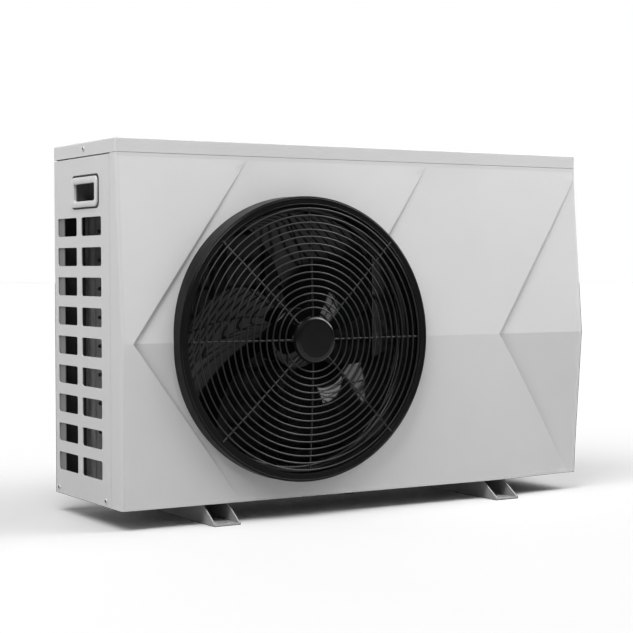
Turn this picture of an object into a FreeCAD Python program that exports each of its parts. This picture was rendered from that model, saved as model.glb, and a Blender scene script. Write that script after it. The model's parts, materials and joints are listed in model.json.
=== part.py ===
import FreeCAD
import Part
import math
import os

# Air-source pool heat pump: a faceted grey cabinet on two rails, with one front axial fan.
# Modelling frame: x = 0 at the cabinet's centre, y = 0 at the front panel's top edge and
# z = 0 at the cabinet's bottom. +Y runs to the back and +Z up. Millimetres.
# Every node is moved at export, so that the row's origin is the bottom centre of the whole box.

V = FreeCAD.Vector
X_AXIS = V(1, 0, 0)
Y_AXIS = V(0, 1, 0)
Z_AXIS = V(0, 0, 1)

# ---- driving dimensions ---------------------------------------------------------------------
CAB_W = 945.0            # cabinet width
CAB_D = 265.0            # cabinet depth, lid
CAB_H = 600.0            # cabinet height without the rails
FOOT_H = 33.0            # rail height
FOOT_FRONT = 45.0        # rail overhang in front of the cabinet
FOOT_BACK = 35.0         # rail overhang behind it
FOOT_W = 48.0            # rail width
FOOT_X = (-297.0, 278.0)
SLOT_L = 22.0            # anchor slot in a rail, end to end
SLOT_W = 10.0
SLOT_INSET = 19.0        # slot centre from the rail's end
RAIL_T = 2.5             # wall of a rail
RAIL_LIP = 15.0          # width of the lips turned in at its top
RAIL_SLANT = 48.0        # how far its side walls slope back at each end
BOLT_HOLE_R = 3.4
POST_LEG = 40.0          # leg of the rear corner post along the side
SHEET = 1.5              # steel sheet
PAN_R = 14.0             # corners of the base pan
SEAM = 0.6               # gap between neighbouring panels
LIP = 24.0               # height of the top cover's skirt
SIDE_SEAM_Y = 24.0       # where the front panel meets the side panels
CORNER_R = 6.0           # the cabinet's front corners
REAR_R = 4.0             # its rear corners
FLANGE = 18.0            # rear flange of a side panel
SIDE_GAP = 2.0           # gap between the side panels and the lid's skirt
RIM = 26.0               # height of the base pan's rim
SHEET_Z0 = 27.0          # bottom of the sheets that stand above the rim
SHEET_Z1 = 573.0         # top of the inner sheets
TAB_Z1 = 594.0           # top of the tabs that the lid is screwed to
TAB_HALF_W = 15.0
LID_SCREW_Y = 130.0      # lid screws at the sides
LID_SCREW_X = (-455.0, 200.0, 440.0)    # and at the back
LID_SCREW_Z = 588.0
PANEL_SCREW = 6.0        # shank of the panel screws
SCREW_HOLE_R = 2.0
FACE_T = 2.5             # wall of the moulded front panel
RIDGE_Z = 268.0          # height of the front panel's ridge
RIDGE_OUT = 24.0         # how far the ridge stands forward
STRIP_Z = 569.0          # bottom of the flat strip under the lid
DIP = 11.0               # step of the creases at their deepest
MID_DIP_AT = 0.55        # the middle crease is deepest this share of the way down,
MID_DIP_SHARE = 0.8      # and its step there is this share of DIP
CREASE_TOP_X = (-234.0, 130.0, 452.0)
CREASE_RIDGE_X = (-454.0, -86.0, 276.0)
CREASE_LOW_X = (-255.0, 310.0, 452.0)
LOW_OUT = (18.0, 20.0, 2.6)    # how far the bottom edge stands forward at the three creases
FAN_X = -140.6
FAN_Z = 269.0
BEZEL_R = 240.7
BEZEL_IN_R = 226.0
DRAIN_R = 9.0
DRAIN_X = 40.0
DRAIN_Y = 120.0
GLAND_R = 8.0            # thread of the cable glands
GLAND_BORE = 4.0
GLAND_Y = 222.0
GLAND_Z = (432.0, 464.0)
WIRING_Y0 = 62.0         # wiring cover on the right side
WIRING_Y1 = 188.0
WIRING_Z0 = 408.0
WIRING_Z1 = 480.0
BEZEL_Y = -44.0          # front face of the bezel
DUCT_R = 222.0           # bore of the fan shroud
FAN_R = 213.0            # blade tip radius
HUB_R = 52.0
HUB_Y0 = -6.0
HUB_Y1 = 46.0
BLADE_Y = 18.0           # middle of the blades
BLADES = 3
BLADE_START = 100.0      # angle of the first blade's root, degrees
# A blade's sections: distance from the axis, sweep (degrees), chord, pitch (degrees), thickness.
BLADE_SHAPE = ((34, 0, 78, 40, 5.0), (85, 3, 122, 33, 4.4), (130, 10, 150, 27, 3.8),
               (175, 22, 168, 23, 3.2), (222, 38, 160, 20, 2.6))
SHAFT_R = 6.0
RINGS = 15               # rings of the wire guard
RING_IN_R = 53.9
RING_OUT_R = 220.0
RING_WIRE = 1.3
SPOKE_WIRE = 1.6
SPOKES = 8
DOME = 12.0              # how far the guard is domed
CAP_R = 39.0
COIL_X0 = -385.0
COIL_X1 = 150.0
COIL_Y0 = 226.0
COIL_Y1 = 258.0
COIL_Z0 = 8.0
COIL_Z1 = 560.0
COIL_FLANGE = 38.0       # flange of the coil's left end plate
BEAD = 5.0               # depth of the bead along it
TUBE_R = 3.5             # refrigerant tubes of the coil
TUBE_Y = (233.0, 246.0)
TUBE_Z0 = 52.0
TUBE_PITCH = 50.2
TUBE_LEVELS = 11
TUBE_PLAY = 0.15         # clearance of the tubes in the fins
JOINT_GAP = 0.3          # gap at the ends of the pipes in place of brazing
HEADER_X = 158.0
HEADER_R = 5.5
HOSE_R = 5.0             # the larger refrigerant pipes
LINE_R = 4.0             # the liquid line
PIPE_BEND = 11.0
GAS_Z = 332.0            # where the two lines cross the partition
LIQUID_Z = 172.0
WALL_X = 172.0           # partition between the fan and the compressor
COMP = (253.0, 110.0)    # compressor's centre
OUTLET = (285.0, 128.0)  # its discharge stub
COMP_R = 58.0
COMP_Z = (30.0, 262.0)   # its drum, below the dome
COMP_DOME = 30.0
GROMMET_REACH = 74.0     # its three grommets from its axis
ACC = (225.0, 215.0)     # suction accumulator
ACC_R = 26.0
ACC_Z = (88.0, 248.0)
HEX = (400.0, 150.0)     # water heat exchanger
HEX_R = 58.0
HEX_Z0 = 34.0
HEX_Z1 = 396.0
VALVE = (300.0, 60.0, 365.0)    # four-way valve's centre
STUB = 18.0              # its stubs, and the outer ones' distance from the middle
STUB_DX = 22.0
EXV = (330.0, 34.0)      # expansion valve
EXV_Z = (98.0, 132.0, 152.0)   # bottom and top of its body, top of its head
EBOX = (190.0, 436.0, 20.0, 240.0, 425.0, 566.0)    # electrical box: x, y and z ranges
SINK = (70.0, 180.0, 445.0, 545.0)                  # heat sink: y and z ranges
MOTOR_R = 55.0
MOTOR_Y0 = 96.0
MOTOR_Y1 = 172.0
RAIL_X = 52.0            # motor rails, each side of the fan's axis
LUG_Z = 32.0             # motor screws, above and below the axis
RAIL_Y0 = 178.0
RAIL_Y1 = 196.0
RAIL_HALF_W = 13.0
LUG_T = 9.8              # thickness of the motor's lugs
MOTOR_HOLE_R = 2.1
VENT_ROWS = 9
VENT_TOP = 474.4
VENT_PITCH = 50.2
VENT_H = 31.1
VENT_REAR = (162.4, 246.4)
VENT_FRONT = (59.7, 142.6)
VENT_R = 4.0
GRIP_Y = 125.0           # handle's centre
GRIP_Z = 516.5
GRIP_W = 115.0
GRIP_H = 57.0
GRIP_PROUD = 3.0
GRIP_DEPTH = 30.0
GRIP_FRAME = 6.0         # how far the frame laps over the panel
GRIP_MOUTH = (87.0, 31.0)
GRIP_POCKET = (97.0, 39.0)
PORT_Y = 150.0           # water ports
PORT_Z = (105.0, 345.0)
PORT_BORE = 20.0
PORT_R = 25.0
PORT_OUT = 58.0          # how far a port stands out of the right side
RING_GAP = 0.3           # clearance round a union nut
NUT_X = 12.0             # from the side panel to a union nut
NUT_L = 32.0
NUT_R = 33.0
NUT_RIBS = 12

HALF_W = CAB_W / 2
PANEL_TOP = CAB_H - LIP - SEAM
POST_X = -HALF_W + SHEET + 0.8
SHEETOP = CAB_H - LIP - SIDE_GAP
WELD_GAP = 0.1           # the guard's wires stand this far apart in place of welds
SPOKE_BACK = RING_WIRE + SPOKE_WIRE + WELD_GAP
GUARD_Y = BEZEL_Y - SPOKE_WIRE - WELD_GAP - SPOKE_BACK
CAP_FRONT = GUARD_Y - DOME - 8.0
LOW_X = -HALF_W - GRIP_PROUD
HIGH_X = HALF_W + PORT_OUT
LOW_Y = CAP_FRONT
HIGH_Y = CAB_D + FOOT_BACK
SHIFT = V(-(LOW_X + HIGH_X) / 2, -(LOW_Y + HIGH_Y) / 2, FOOT_H)

NODES = {}


# ---- helpers --------------------------------------------------------------------------------
def box(x0, x1, y0, y1, z0, z1):
    return Part.makeBox(x1 - x0, y1 - y0, z1 - z0, V(x0, y0, z0))


def rod(radius, start, axis, length):
    return Part.makeCylinder(radius, length, V(start[0], start[1], start[2]), axis)


def tube(r_out, r_in, start, axis, length):
    return rod(r_out, start, axis, length).cut(rod(r_in, start, axis, length))


def fuse(shapes):
    whole = shapes[0]
    for shape in shapes[1:]:
        whole = whole.fuse(shape)
    return whole.removeSplitter()


def cut_all(shape, tools):
    for tool in tools:
        shape = shape.cut(tool)
    return shape


def edges_along(shape, axis, keep=None):
    found = []
    for edge in shape.Edges:
        if not isinstance(edge.Curve, Part.Line):
            continue
        run = edge.Vertexes[1].Point.sub(edge.Vertexes[0].Point)
        if run.cross(axis).Length < 1e-6 and (keep is None or keep(edge.CenterOfMass)):
            found.append(edge)
    return found


def rim_edges(shape, radius):
    # The full circles of one radius on a rod.
    return [edge for edge in shape.Edges if abs(edge.Length - 2 * math.pi * radius) < 0.01]


def soft_box(x0, x1, y0, y1, z0, z1, axis, radius):
    block = box(x0, x1, y0, y1, z0, z1)
    return block.makeFillet(radius, edges_along(block, axis))


def ring_about(x, z, profile):
    # Solid of revolution about a line along Y: profile is a list of (radius, y) corners.
    points = [V(x + radius, y, z) for radius, y in profile]
    face = Part.Face(Part.makePolygon(points + [points[0]]))
    return face.revolve(V(x, 0, z), Y_AXIS, 360)


def turned(x, y, profile):
    # Solid of revolution about a vertical line: profile is a list of (radius, z) corners.
    points = [V(x + radius, y, z) for radius, z in profile]
    face = Part.Face(Part.makePolygon(points + [points[0]]))
    return face.revolve(V(x, y, 0), Z_AXIS, 360)


def pipe(points, radius, bend):
    # Tube stock bent round the inner points of a route with one bend radius.
    corners = [V(*point) for point in points]
    pieces = []
    start = corners[0]
    for i in range(1, len(corners) - 1):
        back = corners[i - 1].sub(corners[i]).normalize()
        ahead = corners[i + 1].sub(corners[i]).normalize()
        half = back.getAngle(ahead) / 2
        reach = bend / math.tan(half)
        arc_in = corners[i].add(back * reach)
        arc_out = corners[i].add(ahead * reach)
        bisector = back.add(ahead).normalize()
        centre = corners[i].add(bisector * (bend / math.sin(half)))
        middle = centre.sub(bisector * bend)
        pieces.append(Part.makeLine(start, arc_in))
        pieces.append(Part.Arc(arc_in, middle, arc_out).toShape())
        start = arc_out
    pieces.append(Part.makeLine(start, corners[-1]))
    path = Part.Wire(pieces)
    run = corners[1].sub(corners[0]).normalize()
    section = Part.Wire(Part.makeCircle(radius, corners[0], run))
    return path.makePipeShell([section], True, False)


def add(name, shape):
    NODES[name] = shape


def screw(x, y, z, axis, head_r, head_h, shank_r, shank):
    # A pan-head screw with its head's seat at (x, y, z) and its head standing out along axis.
    head = rod(head_r, (x, y, z), axis, head_h)
    head = head.makeFillet(head_h * 0.6, [head.Edges[0]])
    back = axis * -shank
    stem = Part.makeCylinder(shank_r, shank, V(x, y, z).add(back), axis)
    return head.fuse(stem)


# ---- cabinet --------------------------------------------------------------------------------
def face_block(inset):
    # The body behind the faceted front: triangles between the top strip, the ridge and the
    # bottom, with a step wall along each crease. inset moves it back and in by a wall.
    side = HALF_W - inset
    out = -RIDGE_OUT + inset
    past = 2.0 if inset else 0.0
    back = SIDE_SEAM_Y + past
    top = PANEL_TOP + past
    p = {}
    for i in range(3):
        crease = str(i + 1)
        p["T" + crease] = V(CREASE_TOP_X[i] - inset, inset, STRIP_Z)
        p["A" + crease] = V(CREASE_RIDGE_X[i] - inset, out, RIDGE_Z)
        p["D" + crease] = V(CREASE_RIDGE_X[i] - inset, out + DIP, RIDGE_Z)
        p["B" + crease] = V(CREASE_LOW_X[i] - inset, inset - LOW_OUT[i], 0)
    deepest = p["T2"] * (1 - MID_DIP_AT) + p["A2"] * MID_DIP_AT
    p["D2"] = V(deepest.x, deepest.y + DIP * MID_DIP_SHARE, deepest.z)
    for name, x, low_y in (("L", -side, inset - LOW_OUT[0]), ("R", side, inset)):
        p["U" + name] = V(x, inset, top)
        p["T" + name] = V(x, inset, STRIP_Z)
        p["R" + name] = V(x, out, RIDGE_Z)
        p["B" + name] = V(x, low_y, 0)
        p["H" + name] = V(x, back, top)
        p["K" + name] = V(x, back, 0)
    outlines = (
        "UL UR TR T3 T2 T1 TL", "TL T1 A1 RL", "T1 D1 A2", "T1 A2 T2", "T1 A1 D1", "T2 A2 D2",
        "T2 D2 A3", "D2 A2 A3", "T2 A3 T3", "T3 A3 D3", "T3 D3 RR", "T3 RR TR",
        "RL A1 B1 BL", "A1 D1 B1", "D1 A2 B1", "A2 B2 B1", "A2 A3 B2",
        "A3 B3 B2", "A3 D3 B3", "D3 RR B3", "RR BR B3",
        "UL TL RL BL KL HL", "UR HR KR BR RR TR", "UL HL HR UR", "BL B1 B2 B3 BR KR KL",
        "HL KL KR HR",
    )
    faces = []
    for outline in outlines:
        points = [p[name] for name in outline.split()]
        faces.append(Part.Face(Part.makePolygon(points + [points[0]])))
    shell = Part.makeShell(faces)
    shell.sewShape()
    solid = Part.makeSolid(shell)
    if solid.Volume < 0:
        solid.reverse()
    return solid.common(corner_mask(side, CORNER_R - inset, inset, back, top))


def corner_mask(side, radius, inset, back, top):
    # Rounds the block's two front corners. Its front follows the facets at the corners, and
    # stands clear of them between.
    levels = ((0.0, -LOW_OUT[0], -LOW_OUT[2]), (RIDGE_Z, -RIDGE_OUT, -RIDGE_OUT),
              (STRIP_Z, 0.0, 0.0), (top, 0.0, 0.0))
    clear = -RIDGE_OUT - 20
    slant = radius * math.sqrt(0.5)
    wires = []
    for z, left_y, right_y in levels:
        left = left_y + inset + radius
        right = right_y + inset + radius
        left_x = -side + radius
        right_x = side - radius
        edges = [
            Part.makeLine(V(-side, back, z), V(-side, left, z)),
            Part.Arc(V(-side, left, z), V(left_x - slant, left - slant, z),
                     V(left_x, left - radius, z)).toShape(),
            Part.makeLine(V(left_x, left - radius, z), V(left_x, clear, z)),
            Part.makeLine(V(left_x, clear, z), V(right_x, clear, z)),
            Part.makeLine(V(right_x, clear, z), V(right_x, right - radius, z)),
            Part.Arc(V(right_x, right - radius, z), V(right_x + slant, right - slant, z),
                     V(side, right, z)).toShape(),
            Part.makeLine(V(side, right, z), V(side, back, z)),
            Part.makeLine(V(side, back, z), V(-side, back, z)),
        ]
        wires.append(Part.Wire(edges))
    return Part.makeLoft(wires, True, True)


def front_panel():
    # The moulded front: a thin shell with a lip along its bottom and a round hole for the fan.
    lip_back = 2.0
    outer = face_block(0.0)
    shell = outer.cut(face_block(FACE_T))
    lip = outer.common(box(-HALF_W, HALF_W, -RIDGE_OUT - 1, lip_back, 0, FACE_T))
    hole = rod(BEZEL_R + 0.4, (FAN_X, -RIDGE_OUT - 10, FAN_Z), Y_AXIS, 100)
    return shell.fuse(lip).cut(hole).removeSplitter()


def grip_hole(side):
    # The cut-out of a side panel behind the handle's frame.
    half_w = GRIP_W / 2 - GRIP_FRAME
    half_h = GRIP_H / 2 - GRIP_FRAME
    return grip_box(side, 4, -4, half_w, half_h, 6)


def side_sheet(side):
    # A side sheet with a flange turned in at the back.
    y0 = SIDE_SEAM_Y + SEAM
    xs = sorted((side * HALF_W, side * (HALF_W - FLANGE)))
    outer = box(xs[0], xs[1], y0, CAB_D, 0, SHEETOP)
    rear = edges_along(outer, Z_AXIS, lambda c: abs(c.x - side * HALF_W) < 1 and c.y > y0 + 9)
    outer = outer.makeFillet(REAR_R, rear)
    x_in = side * (HALF_W - SHEET)
    x_far = side * (HALF_W - FLANGE - 5)
    inner = box(min(x_in, x_far), max(x_in, x_far), y0 - 5, CAB_D - SHEET, -1, SHEETOP + 1)
    edge = edges_along(inner, Z_AXIS, lambda c: abs(c.x - x_in) < 1 and c.y > y0 + 9)
    inner = inner.makeFillet(REAR_R - SHEET, edge)
    return cut_all(outer.cut(inner).cut(grip_hole(side)), panel_screw_holes())


def left_side_panel():
    sheet = side_sheet(-1)
    vents = []
    for row in range(VENT_ROWS):
        top = VENT_TOP - row * VENT_PITCH
        for y0, y1 in (VENT_REAR, VENT_FRONT):
            vents.append(soft_box(-HALF_W - 3, -HALF_W + 5, y0, y1, top - VENT_H, top, X_AXIS, VENT_R))
    return cut_all(sheet, vents)


def right_side_panel():
    sheet = side_sheet(1)
    x0 = HALF_W - 5
    margin = 12.0
    tools = [rod(PORT_R + 1.0, (x0, PORT_Y, z), X_AXIS, 10) for z in PORT_Z]
    tools += [rod(GLAND_R + 0.3, (x0, GLAND_Y, z), X_AXIS, 10) for z in GLAND_Z]
    tools.append(soft_box(x0, x0 + 10, WIRING_Y0 + margin, WIRING_Y1 - margin,
                          WIRING_Z0 + margin, WIRING_Z1 - margin, X_AXIS, 6))
    return cut_all(sheet, tools)


def top_cover():
    # The lid: a flat top with a skirt, round at the front corners and tight at the rear ones.
    outer = lid_block(0.0, CAB_H - LIP, CAB_H)
    top = [edge for edge in outer.Edges if edge.CenterOfMass.z > CAB_H - 0.01]
    outer = outer.makeFillet(3.0, top)
    inner = lid_block(SHEET, CAB_H - LIP - 1, CAB_H - SHEET)
    return cut_all(outer.cut(inner), lid_screw_holes())


def lid_block(inset, z0, z1):
    block = box(-HALF_W + inset, HALF_W - inset, inset, CAB_D - inset, z0, z1)
    block = block.makeFillet(CORNER_R - inset, edges_along(block, Z_AXIS, lambda c: c.y < CAB_D / 2))
    return block.makeFillet(REAR_R - inset, edges_along(block, Z_AXIS, lambda c: c.y > CAB_D - 2 * SHEET))


def lid_screw_places():
    # Screws through the lid's skirt into the tabs behind it: seat point and outward direction.
    places = [(side * HALF_W, LID_SCREW_Y, LID_SCREW_Z, X_AXIS * side) for side in (-1, 1)]
    return places + [(x, CAB_D, LID_SCREW_Z, Y_AXIS) for x in LID_SCREW_X]


def panel_screw_places():
    # Screws at the foot of each side panel, and along its rear flange.
    places = []
    for side in (-1, 1):
        places += [(side * HALF_W, y, 10.0, X_AXIS * side) for y in (45.0, 247.0)]
        places += [(side * (HALF_W - 11), CAB_D, z, Y_AXIS) for z in (40.0, 290.0, 540.0)]
    return places


def screw_holes(places, depth):
    return [rod(SCREW_HOLE_R, V(x, y, z).sub(axis * depth), axis, 2 * depth) for x, y, z, axis in places]


def lid_screw_holes():
    return screw_holes(lid_screw_places(), 10.0)


def panel_screw_holes():
    return screw_holes(panel_screw_places(), PANEL_SCREW + 2)


def base_pan():
    # A tray with an upturned rim, shallow beads across its floor and a drain hole.
    x = HALF_W - FACE_T - 0.5
    y0 = 5.6
    y1 = CAB_D - SHEET - 2.6
    outer = box(-x, x, y0, y1, 0, RIM)
    outer = outer.makeFillet(PAN_R, edges_along(outer, Z_AXIS))
    inner = box(-x + SHEET, x - SHEET, y0 + SHEET, y1 - SHEET, SHEET, RIM + 1)
    inner = inner.makeFillet(PAN_R - SHEET, edges_along(inner, Z_AXIS))
    pan = outer.cut(inner)
    bead_half = 9.0
    beads = [soft_box(bead_x - bead_half, bead_x + bead_half, 30, 196, SHEET, SHEET + 3, Z_AXIS, 8)
             for bead_x in (-380.0, -250.0, -30.0, 100.0)]
    pan = fuse([pan] + beads)
    holes = [rod(DRAIN_R + 0.2, (DRAIN_X, DRAIN_Y, -2), Z_AXIS, 8)]
    for foot_x in FOOT_X:
        holes += [rod(BOLT_HOLE_R, (bolt_x, bolt_y, -2), Z_AXIS, 8) for bolt_x, bolt_y in foot_bolts(foot_x)]
    return cut_all(pan, holes + panel_screw_holes())


def foot(x):
    # A rail: open channel with lips turned in at its top and side walls cut back at both ends.
    half = FOOT_W / 2
    y0 = -FOOT_FRONT
    y1 = CAB_D + FOOT_BACK
    outer = box(x - half, x + half, y0, y1, -FOOT_H, 0)
    core = box(x - half + RAIL_T, x + half - RAIL_T, y0 - 1, y1 + 1, -FOOT_H + RAIL_T, -RAIL_T)
    mouth = box(x - half + RAIL_LIP, x + half - RAIL_LIP, y0 - 1, y1 + 1, -RAIL_T - 1, 1)
    rail = outer.cut(core).cut(mouth)
    for end, turn in ((y0, 1), (y1, -1)):
        points = [V(x - half - 1, end - turn, 1), V(x - half - 1, end + turn * RAIL_SLANT, 1),
                  V(x - half - 1, end - turn, -FOOT_H + RAIL_T)]
        wedge = Part.Face(Part.makePolygon(points + [points[0]])).extrude(V(FOOT_W + 2, 0, 0))
        slot_y = end + turn * SLOT_INSET
        slot = soft_box(x - SLOT_L / 2, x + SLOT_L / 2, slot_y - SLOT_W / 2, slot_y + SLOT_W / 2,
                        -FOOT_H - 1, -FOOT_H + RAIL_T + 1, Z_AXIS, SLOT_W / 2 - 0.001)
        rail = rail.cut(wedge).cut(slot)
    bolts = [rod(BOLT_HOLE_R, (bolt_x, bolt_y, -5), Z_AXIS, 8) for bolt_x, bolt_y in foot_bolts(x)]
    return cut_all(rail, bolts)


def foot_bolts(x):
    return [(x + side * (FOOT_W / 2 - 8.5), y) for side in (-1, 1) for y in (34.0, 214.0)]


def cabinet():
    add("base_pan", base_pan())
    add("foot_left", foot(FOOT_X[0]))
    add("foot_right", foot(FOOT_X[1]))
    add("front_panel", front_panel())
    add("left_side_panel", left_side_panel())
    add("right_side_panel", right_side_panel())
    add("top_cover", top_cover())


# ---- handles, rear and inner sheets -----------------------------------------------------------
def grip_box(side, depth0, depth1, half_w, half_h, radius):
    # A box at a handle, measured inward from the side panel's outer face.
    xs = sorted((side * (HALF_W - depth0), side * (HALF_W - depth1)))
    return soft_box(xs[0], xs[1], GRIP_Y - half_w, GRIP_Y + half_w,
                    GRIP_Z - half_h, GRIP_Z + half_h, X_AXIS, radius)


def handle_cup(side):
    # A moulded cup: a raised frame on the panel, a mouth, and a taller pocket behind it.
    frame = grip_box(side, 0, -GRIP_PROUD, GRIP_W / 2, GRIP_H / 2, 9)
    face_x = side * (HALF_W + GRIP_PROUD)
    rim = [edge for edge in frame.Edges if abs(edge.CenterOfMass.x - face_x) < 0.01]
    frame = frame.makeFillet(1.4, rim)
    inset = GRIP_FRAME + 0.3
    plug = grip_box(side, 0, GRIP_DEPTH + 2, GRIP_W / 2 - inset, GRIP_H / 2 - inset, 5.5)
    mouth = grip_box(side, 6, -GRIP_PROUD - 1, GRIP_MOUTH[0] / 2, GRIP_MOUTH[1] / 2, 4)
    pocket = grip_box(side, 4, GRIP_DEPTH, GRIP_POCKET[0] / 2, GRIP_POCKET[1] / 2, 4)
    return cut_all(frame.fuse(plug), [mouth, pocket]).removeSplitter()


def rear_guard():
    # A grid of welded wires over the coil at the back.
    y_bars = CAB_D - 5.0
    y_posts = CAB_D - 3.2
    x0 = POST_X + 24 + 0.4
    x1 = WALL_X - 4
    z0 = 32.0
    z1 = 566.0
    rows = 20
    columns = 8
    margin = 3.0
    tail = 4.0
    wires = []
    for i in range(rows + 1):
        wires.append(rod(1.2, (x0, y_bars, z0 + i * (z1 - z0) / rows), X_AXIS, x1 - x0))
    for i in range(columns + 1):
        x = x0 + margin + i * (x1 - x0 - 2 * margin) / columns
        wires.append(rod(1.5, (x, y_posts, z0 - tail), Z_AXIS, z1 - z0 + 2 * tail))
    return wires[0].multiFuse(wires[1:])


def rear_corner_post():
    # An angle in the rear left corner that carries the coil guard and the side panel.
    x0 = POST_X
    y1 = CAB_D - SHEET - 0.8
    leg_side = box(x0, x0 + SHEET, y1 - POST_LEG, y1, SHEET_Z0, SHEET_Z1)
    leg_rear = box(x0, x0 + 24, y1 - SHEET, y1, SHEET_Z0, SHEET_Z1)
    post = leg_side.fuse(leg_rear).removeSplitter()
    corner = edges_along(post, Z_AXIS, lambda c: c.x < x0 + 0.1 and c.y > y1 - 0.1)
    post = post.makeFillet(SHEET * 0.9, corner)
    tab = box(x0 + 4, x0 + 24, y1 - SHEET, y1, SHEET_Z1 - TAB_HALF_W, TAB_Z1)
    return cut_all(post.fuse(tab).removeSplitter(), panel_screw_holes() + lid_screw_holes())


def rear_panel():
    # The louvred sheet behind the compressor, with a flange beside the coil and tabs for the lid.
    y1 = CAB_D - SHEET - 0.2
    x0 = WALL_X + SHEET + 0.3
    x1 = HALF_W - SHEET - 2.5
    sheet = box(x0, x1, y1 - SHEET, y1, SHEET_Z0, SHEET_Z1)
    flange = box(x0, x0 + SHEET, y1 - 10, y1, SHEET_Z0, SHEET_Z1)
    louvres = []
    margin = 60.0
    for i in range(6):
        z = 440 + i * 18
        louvres.append(soft_box(x0 + margin, x1 - margin, y1 - 5, y1 + 5, z, z + 6, Y_AXIS, 2.9))
    tabs = [box(x - TAB_HALF_W, x + TAB_HALF_W, y1 - SHEET, y1, SHEET_Z1 - TAB_HALF_W, TAB_Z1)
            for x in LID_SCREW_X if x > x0]
    panel = fuse([sheet, flange] + tabs)
    return cut_all(panel, louvres + panel_screw_holes() + lid_screw_holes())


def partition_panel():
    # The upright sheet that keeps the fan's air away from the compressor.
    y0 = 7.5
    y1 = CAB_D - SHEET - 2.6 - SHEET - 0.4
    sheet = box(WALL_X, WALL_X + SHEET, y0, y1, SHEET + 0.3, SHEET_Z1 - 1)
    x0 = WALL_X - 4
    play = 0.5
    holes = [rod(HOSE_R + 1.5, (x0, TUBE_Y[1], GAS_Z), X_AXIS, 10),
             rod(HOSE_R + 1.5, (x0, TUBE_Y[0], LIQUID_Z), X_AXIS, 10),
             box(x0, x0 + 10, SINK[0] - play, SINK[1] + play, SINK[2] - play, SINK[3] + play)]
    return cut_all(sheet, holes)


# ---- fan ---------------------------------------------------------------------------------------
def fan_bezel():
    # The black ring that stands out of the front panel: outer wall, flat face and inner lip.
    edge = 2.2
    steps = 5
    outer = [(BEZEL_R, 6.0)]
    for i in range(steps + 1):
        angle = math.radians(90 * i / steps)
        outer.append((BEZEL_R - edge + edge * math.cos(angle),
                      BEZEL_Y + edge - edge * math.sin(angle)))
    inner = [(BEZEL_IN_R, BEZEL_Y), (BEZEL_IN_R, BEZEL_Y + 8), (BEZEL_IN_R + 2.5, BEZEL_Y + 8),
             (BEZEL_IN_R + 2.5, BEZEL_Y + 3), (BEZEL_R - 3, BEZEL_Y + 3), (BEZEL_R - 3, 6.0)]
    return ring_about(FAN_X, FAN_Z, outer + inner)


def fan_shroud():
    # The duct round the blades, with a bell mouth at the back and a collar at the front.
    wall = 2.2
    y0 = BEZEL_Y + 9
    y1 = 24.0
    flare = 15.0
    steps = 6
    points = [(DUCT_R, y0), (DUCT_R, y1)]
    for i in range(1, steps + 1):
        angle = math.radians(90 * i / steps)
        points.append((DUCT_R + flare * (1 - math.cos(angle)), y1 + flare * math.sin(angle)))
    points.append((DUCT_R + flare, y1 + flare + wall))
    for i in range(steps, -1, -1):
        angle = math.radians(90 * i / steps)
        points.append((DUCT_R + wall + (flare - wall) * (1 - math.cos(angle)),
                       y1 + (flare - wall) * math.sin(angle)))
    points += [(DUCT_R + wall, y0 + 8), (BEZEL_R - 3.4, y0 + 8), (BEZEL_R - 3.4, y0 + 5.5),
               (DUCT_R + wall, y0 + 5.5), (DUCT_R + wall, y0)]
    clean = [points[0]]
    for point in points[1:]:
        if math.dist(point, clean[-1]) > 0.01:
            clean.append(point)
    return ring_about(FAN_X, FAN_Z, clean)


def guard_y(radius):
    return GUARD_Y - DOME * (1 - (radius / RING_OUT_R) ** 2)


def wire_guard():
    # Concentric rings on radial wires, which lie behind them.
    rings = []
    for i in range(RINGS):
        radius = RING_IN_R + i * (RING_OUT_R - RING_IN_R) / (RINGS - 1)
        rings.append(Part.makeTorus(radius, RING_WIRE, V(FAN_X, guard_y(radius), FAN_Z), Y_AXIS))
    spokes = []
    for i in range(SPOKES):
        angle = 2 * math.pi * i / SPOKES
        end = RING_OUT_R + (12.0 if i % 2 else 2.5)
        spokes.append(spoke(angle, end))
    return Part.makeCompound(rings + spokes)


def spoke(angle, end):
    # One radial wire: an arc that follows the dome, a little behind the rings.
    start = CAP_R - 6
    points = []
    for radius in (start, (start + RING_OUT_R) / 2, RING_OUT_R):
        points.append(V(FAN_X + radius * math.cos(angle), guard_y(radius) + SPOKE_BACK,
                        FAN_Z + radius * math.sin(angle)))
    arc = Part.Arc(*points)
    bow = arc.toShape()
    outward = V(math.cos(angle), 0, math.sin(angle))
    tip = Part.makeLine(points[-1], points[-1].add(outward * (end - RING_OUT_R)))
    swept = []
    for edge, at, run in ((bow, points[0], arc.tangent(arc.FirstParameter)[0]),
                          (tip, points[-1], outward)):
        section = Part.Wire(Part.makeCircle(SPOKE_WIRE, at, run))
        swept.append(Part.Wire([edge]).makePipeShell([section], True, False))
    return swept[0].fuse(swept[1])


def guard_cap():
    # A shallow round cap at the middle of the guard.
    back = guard_y(0) + 6.0
    front = CAP_FRONT
    profile = [(0, back), (CAP_R - 3, back), (CAP_R, back - 3), (CAP_R, front + 5),
               (CAP_R - 1.2, front + 2.4), (CAP_R - 4, front + 0.7), (CAP_R - 9, front),
               (0, front)]
    cap = ring_about(FAN_X, FAN_Z, profile)
    return cap


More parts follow.
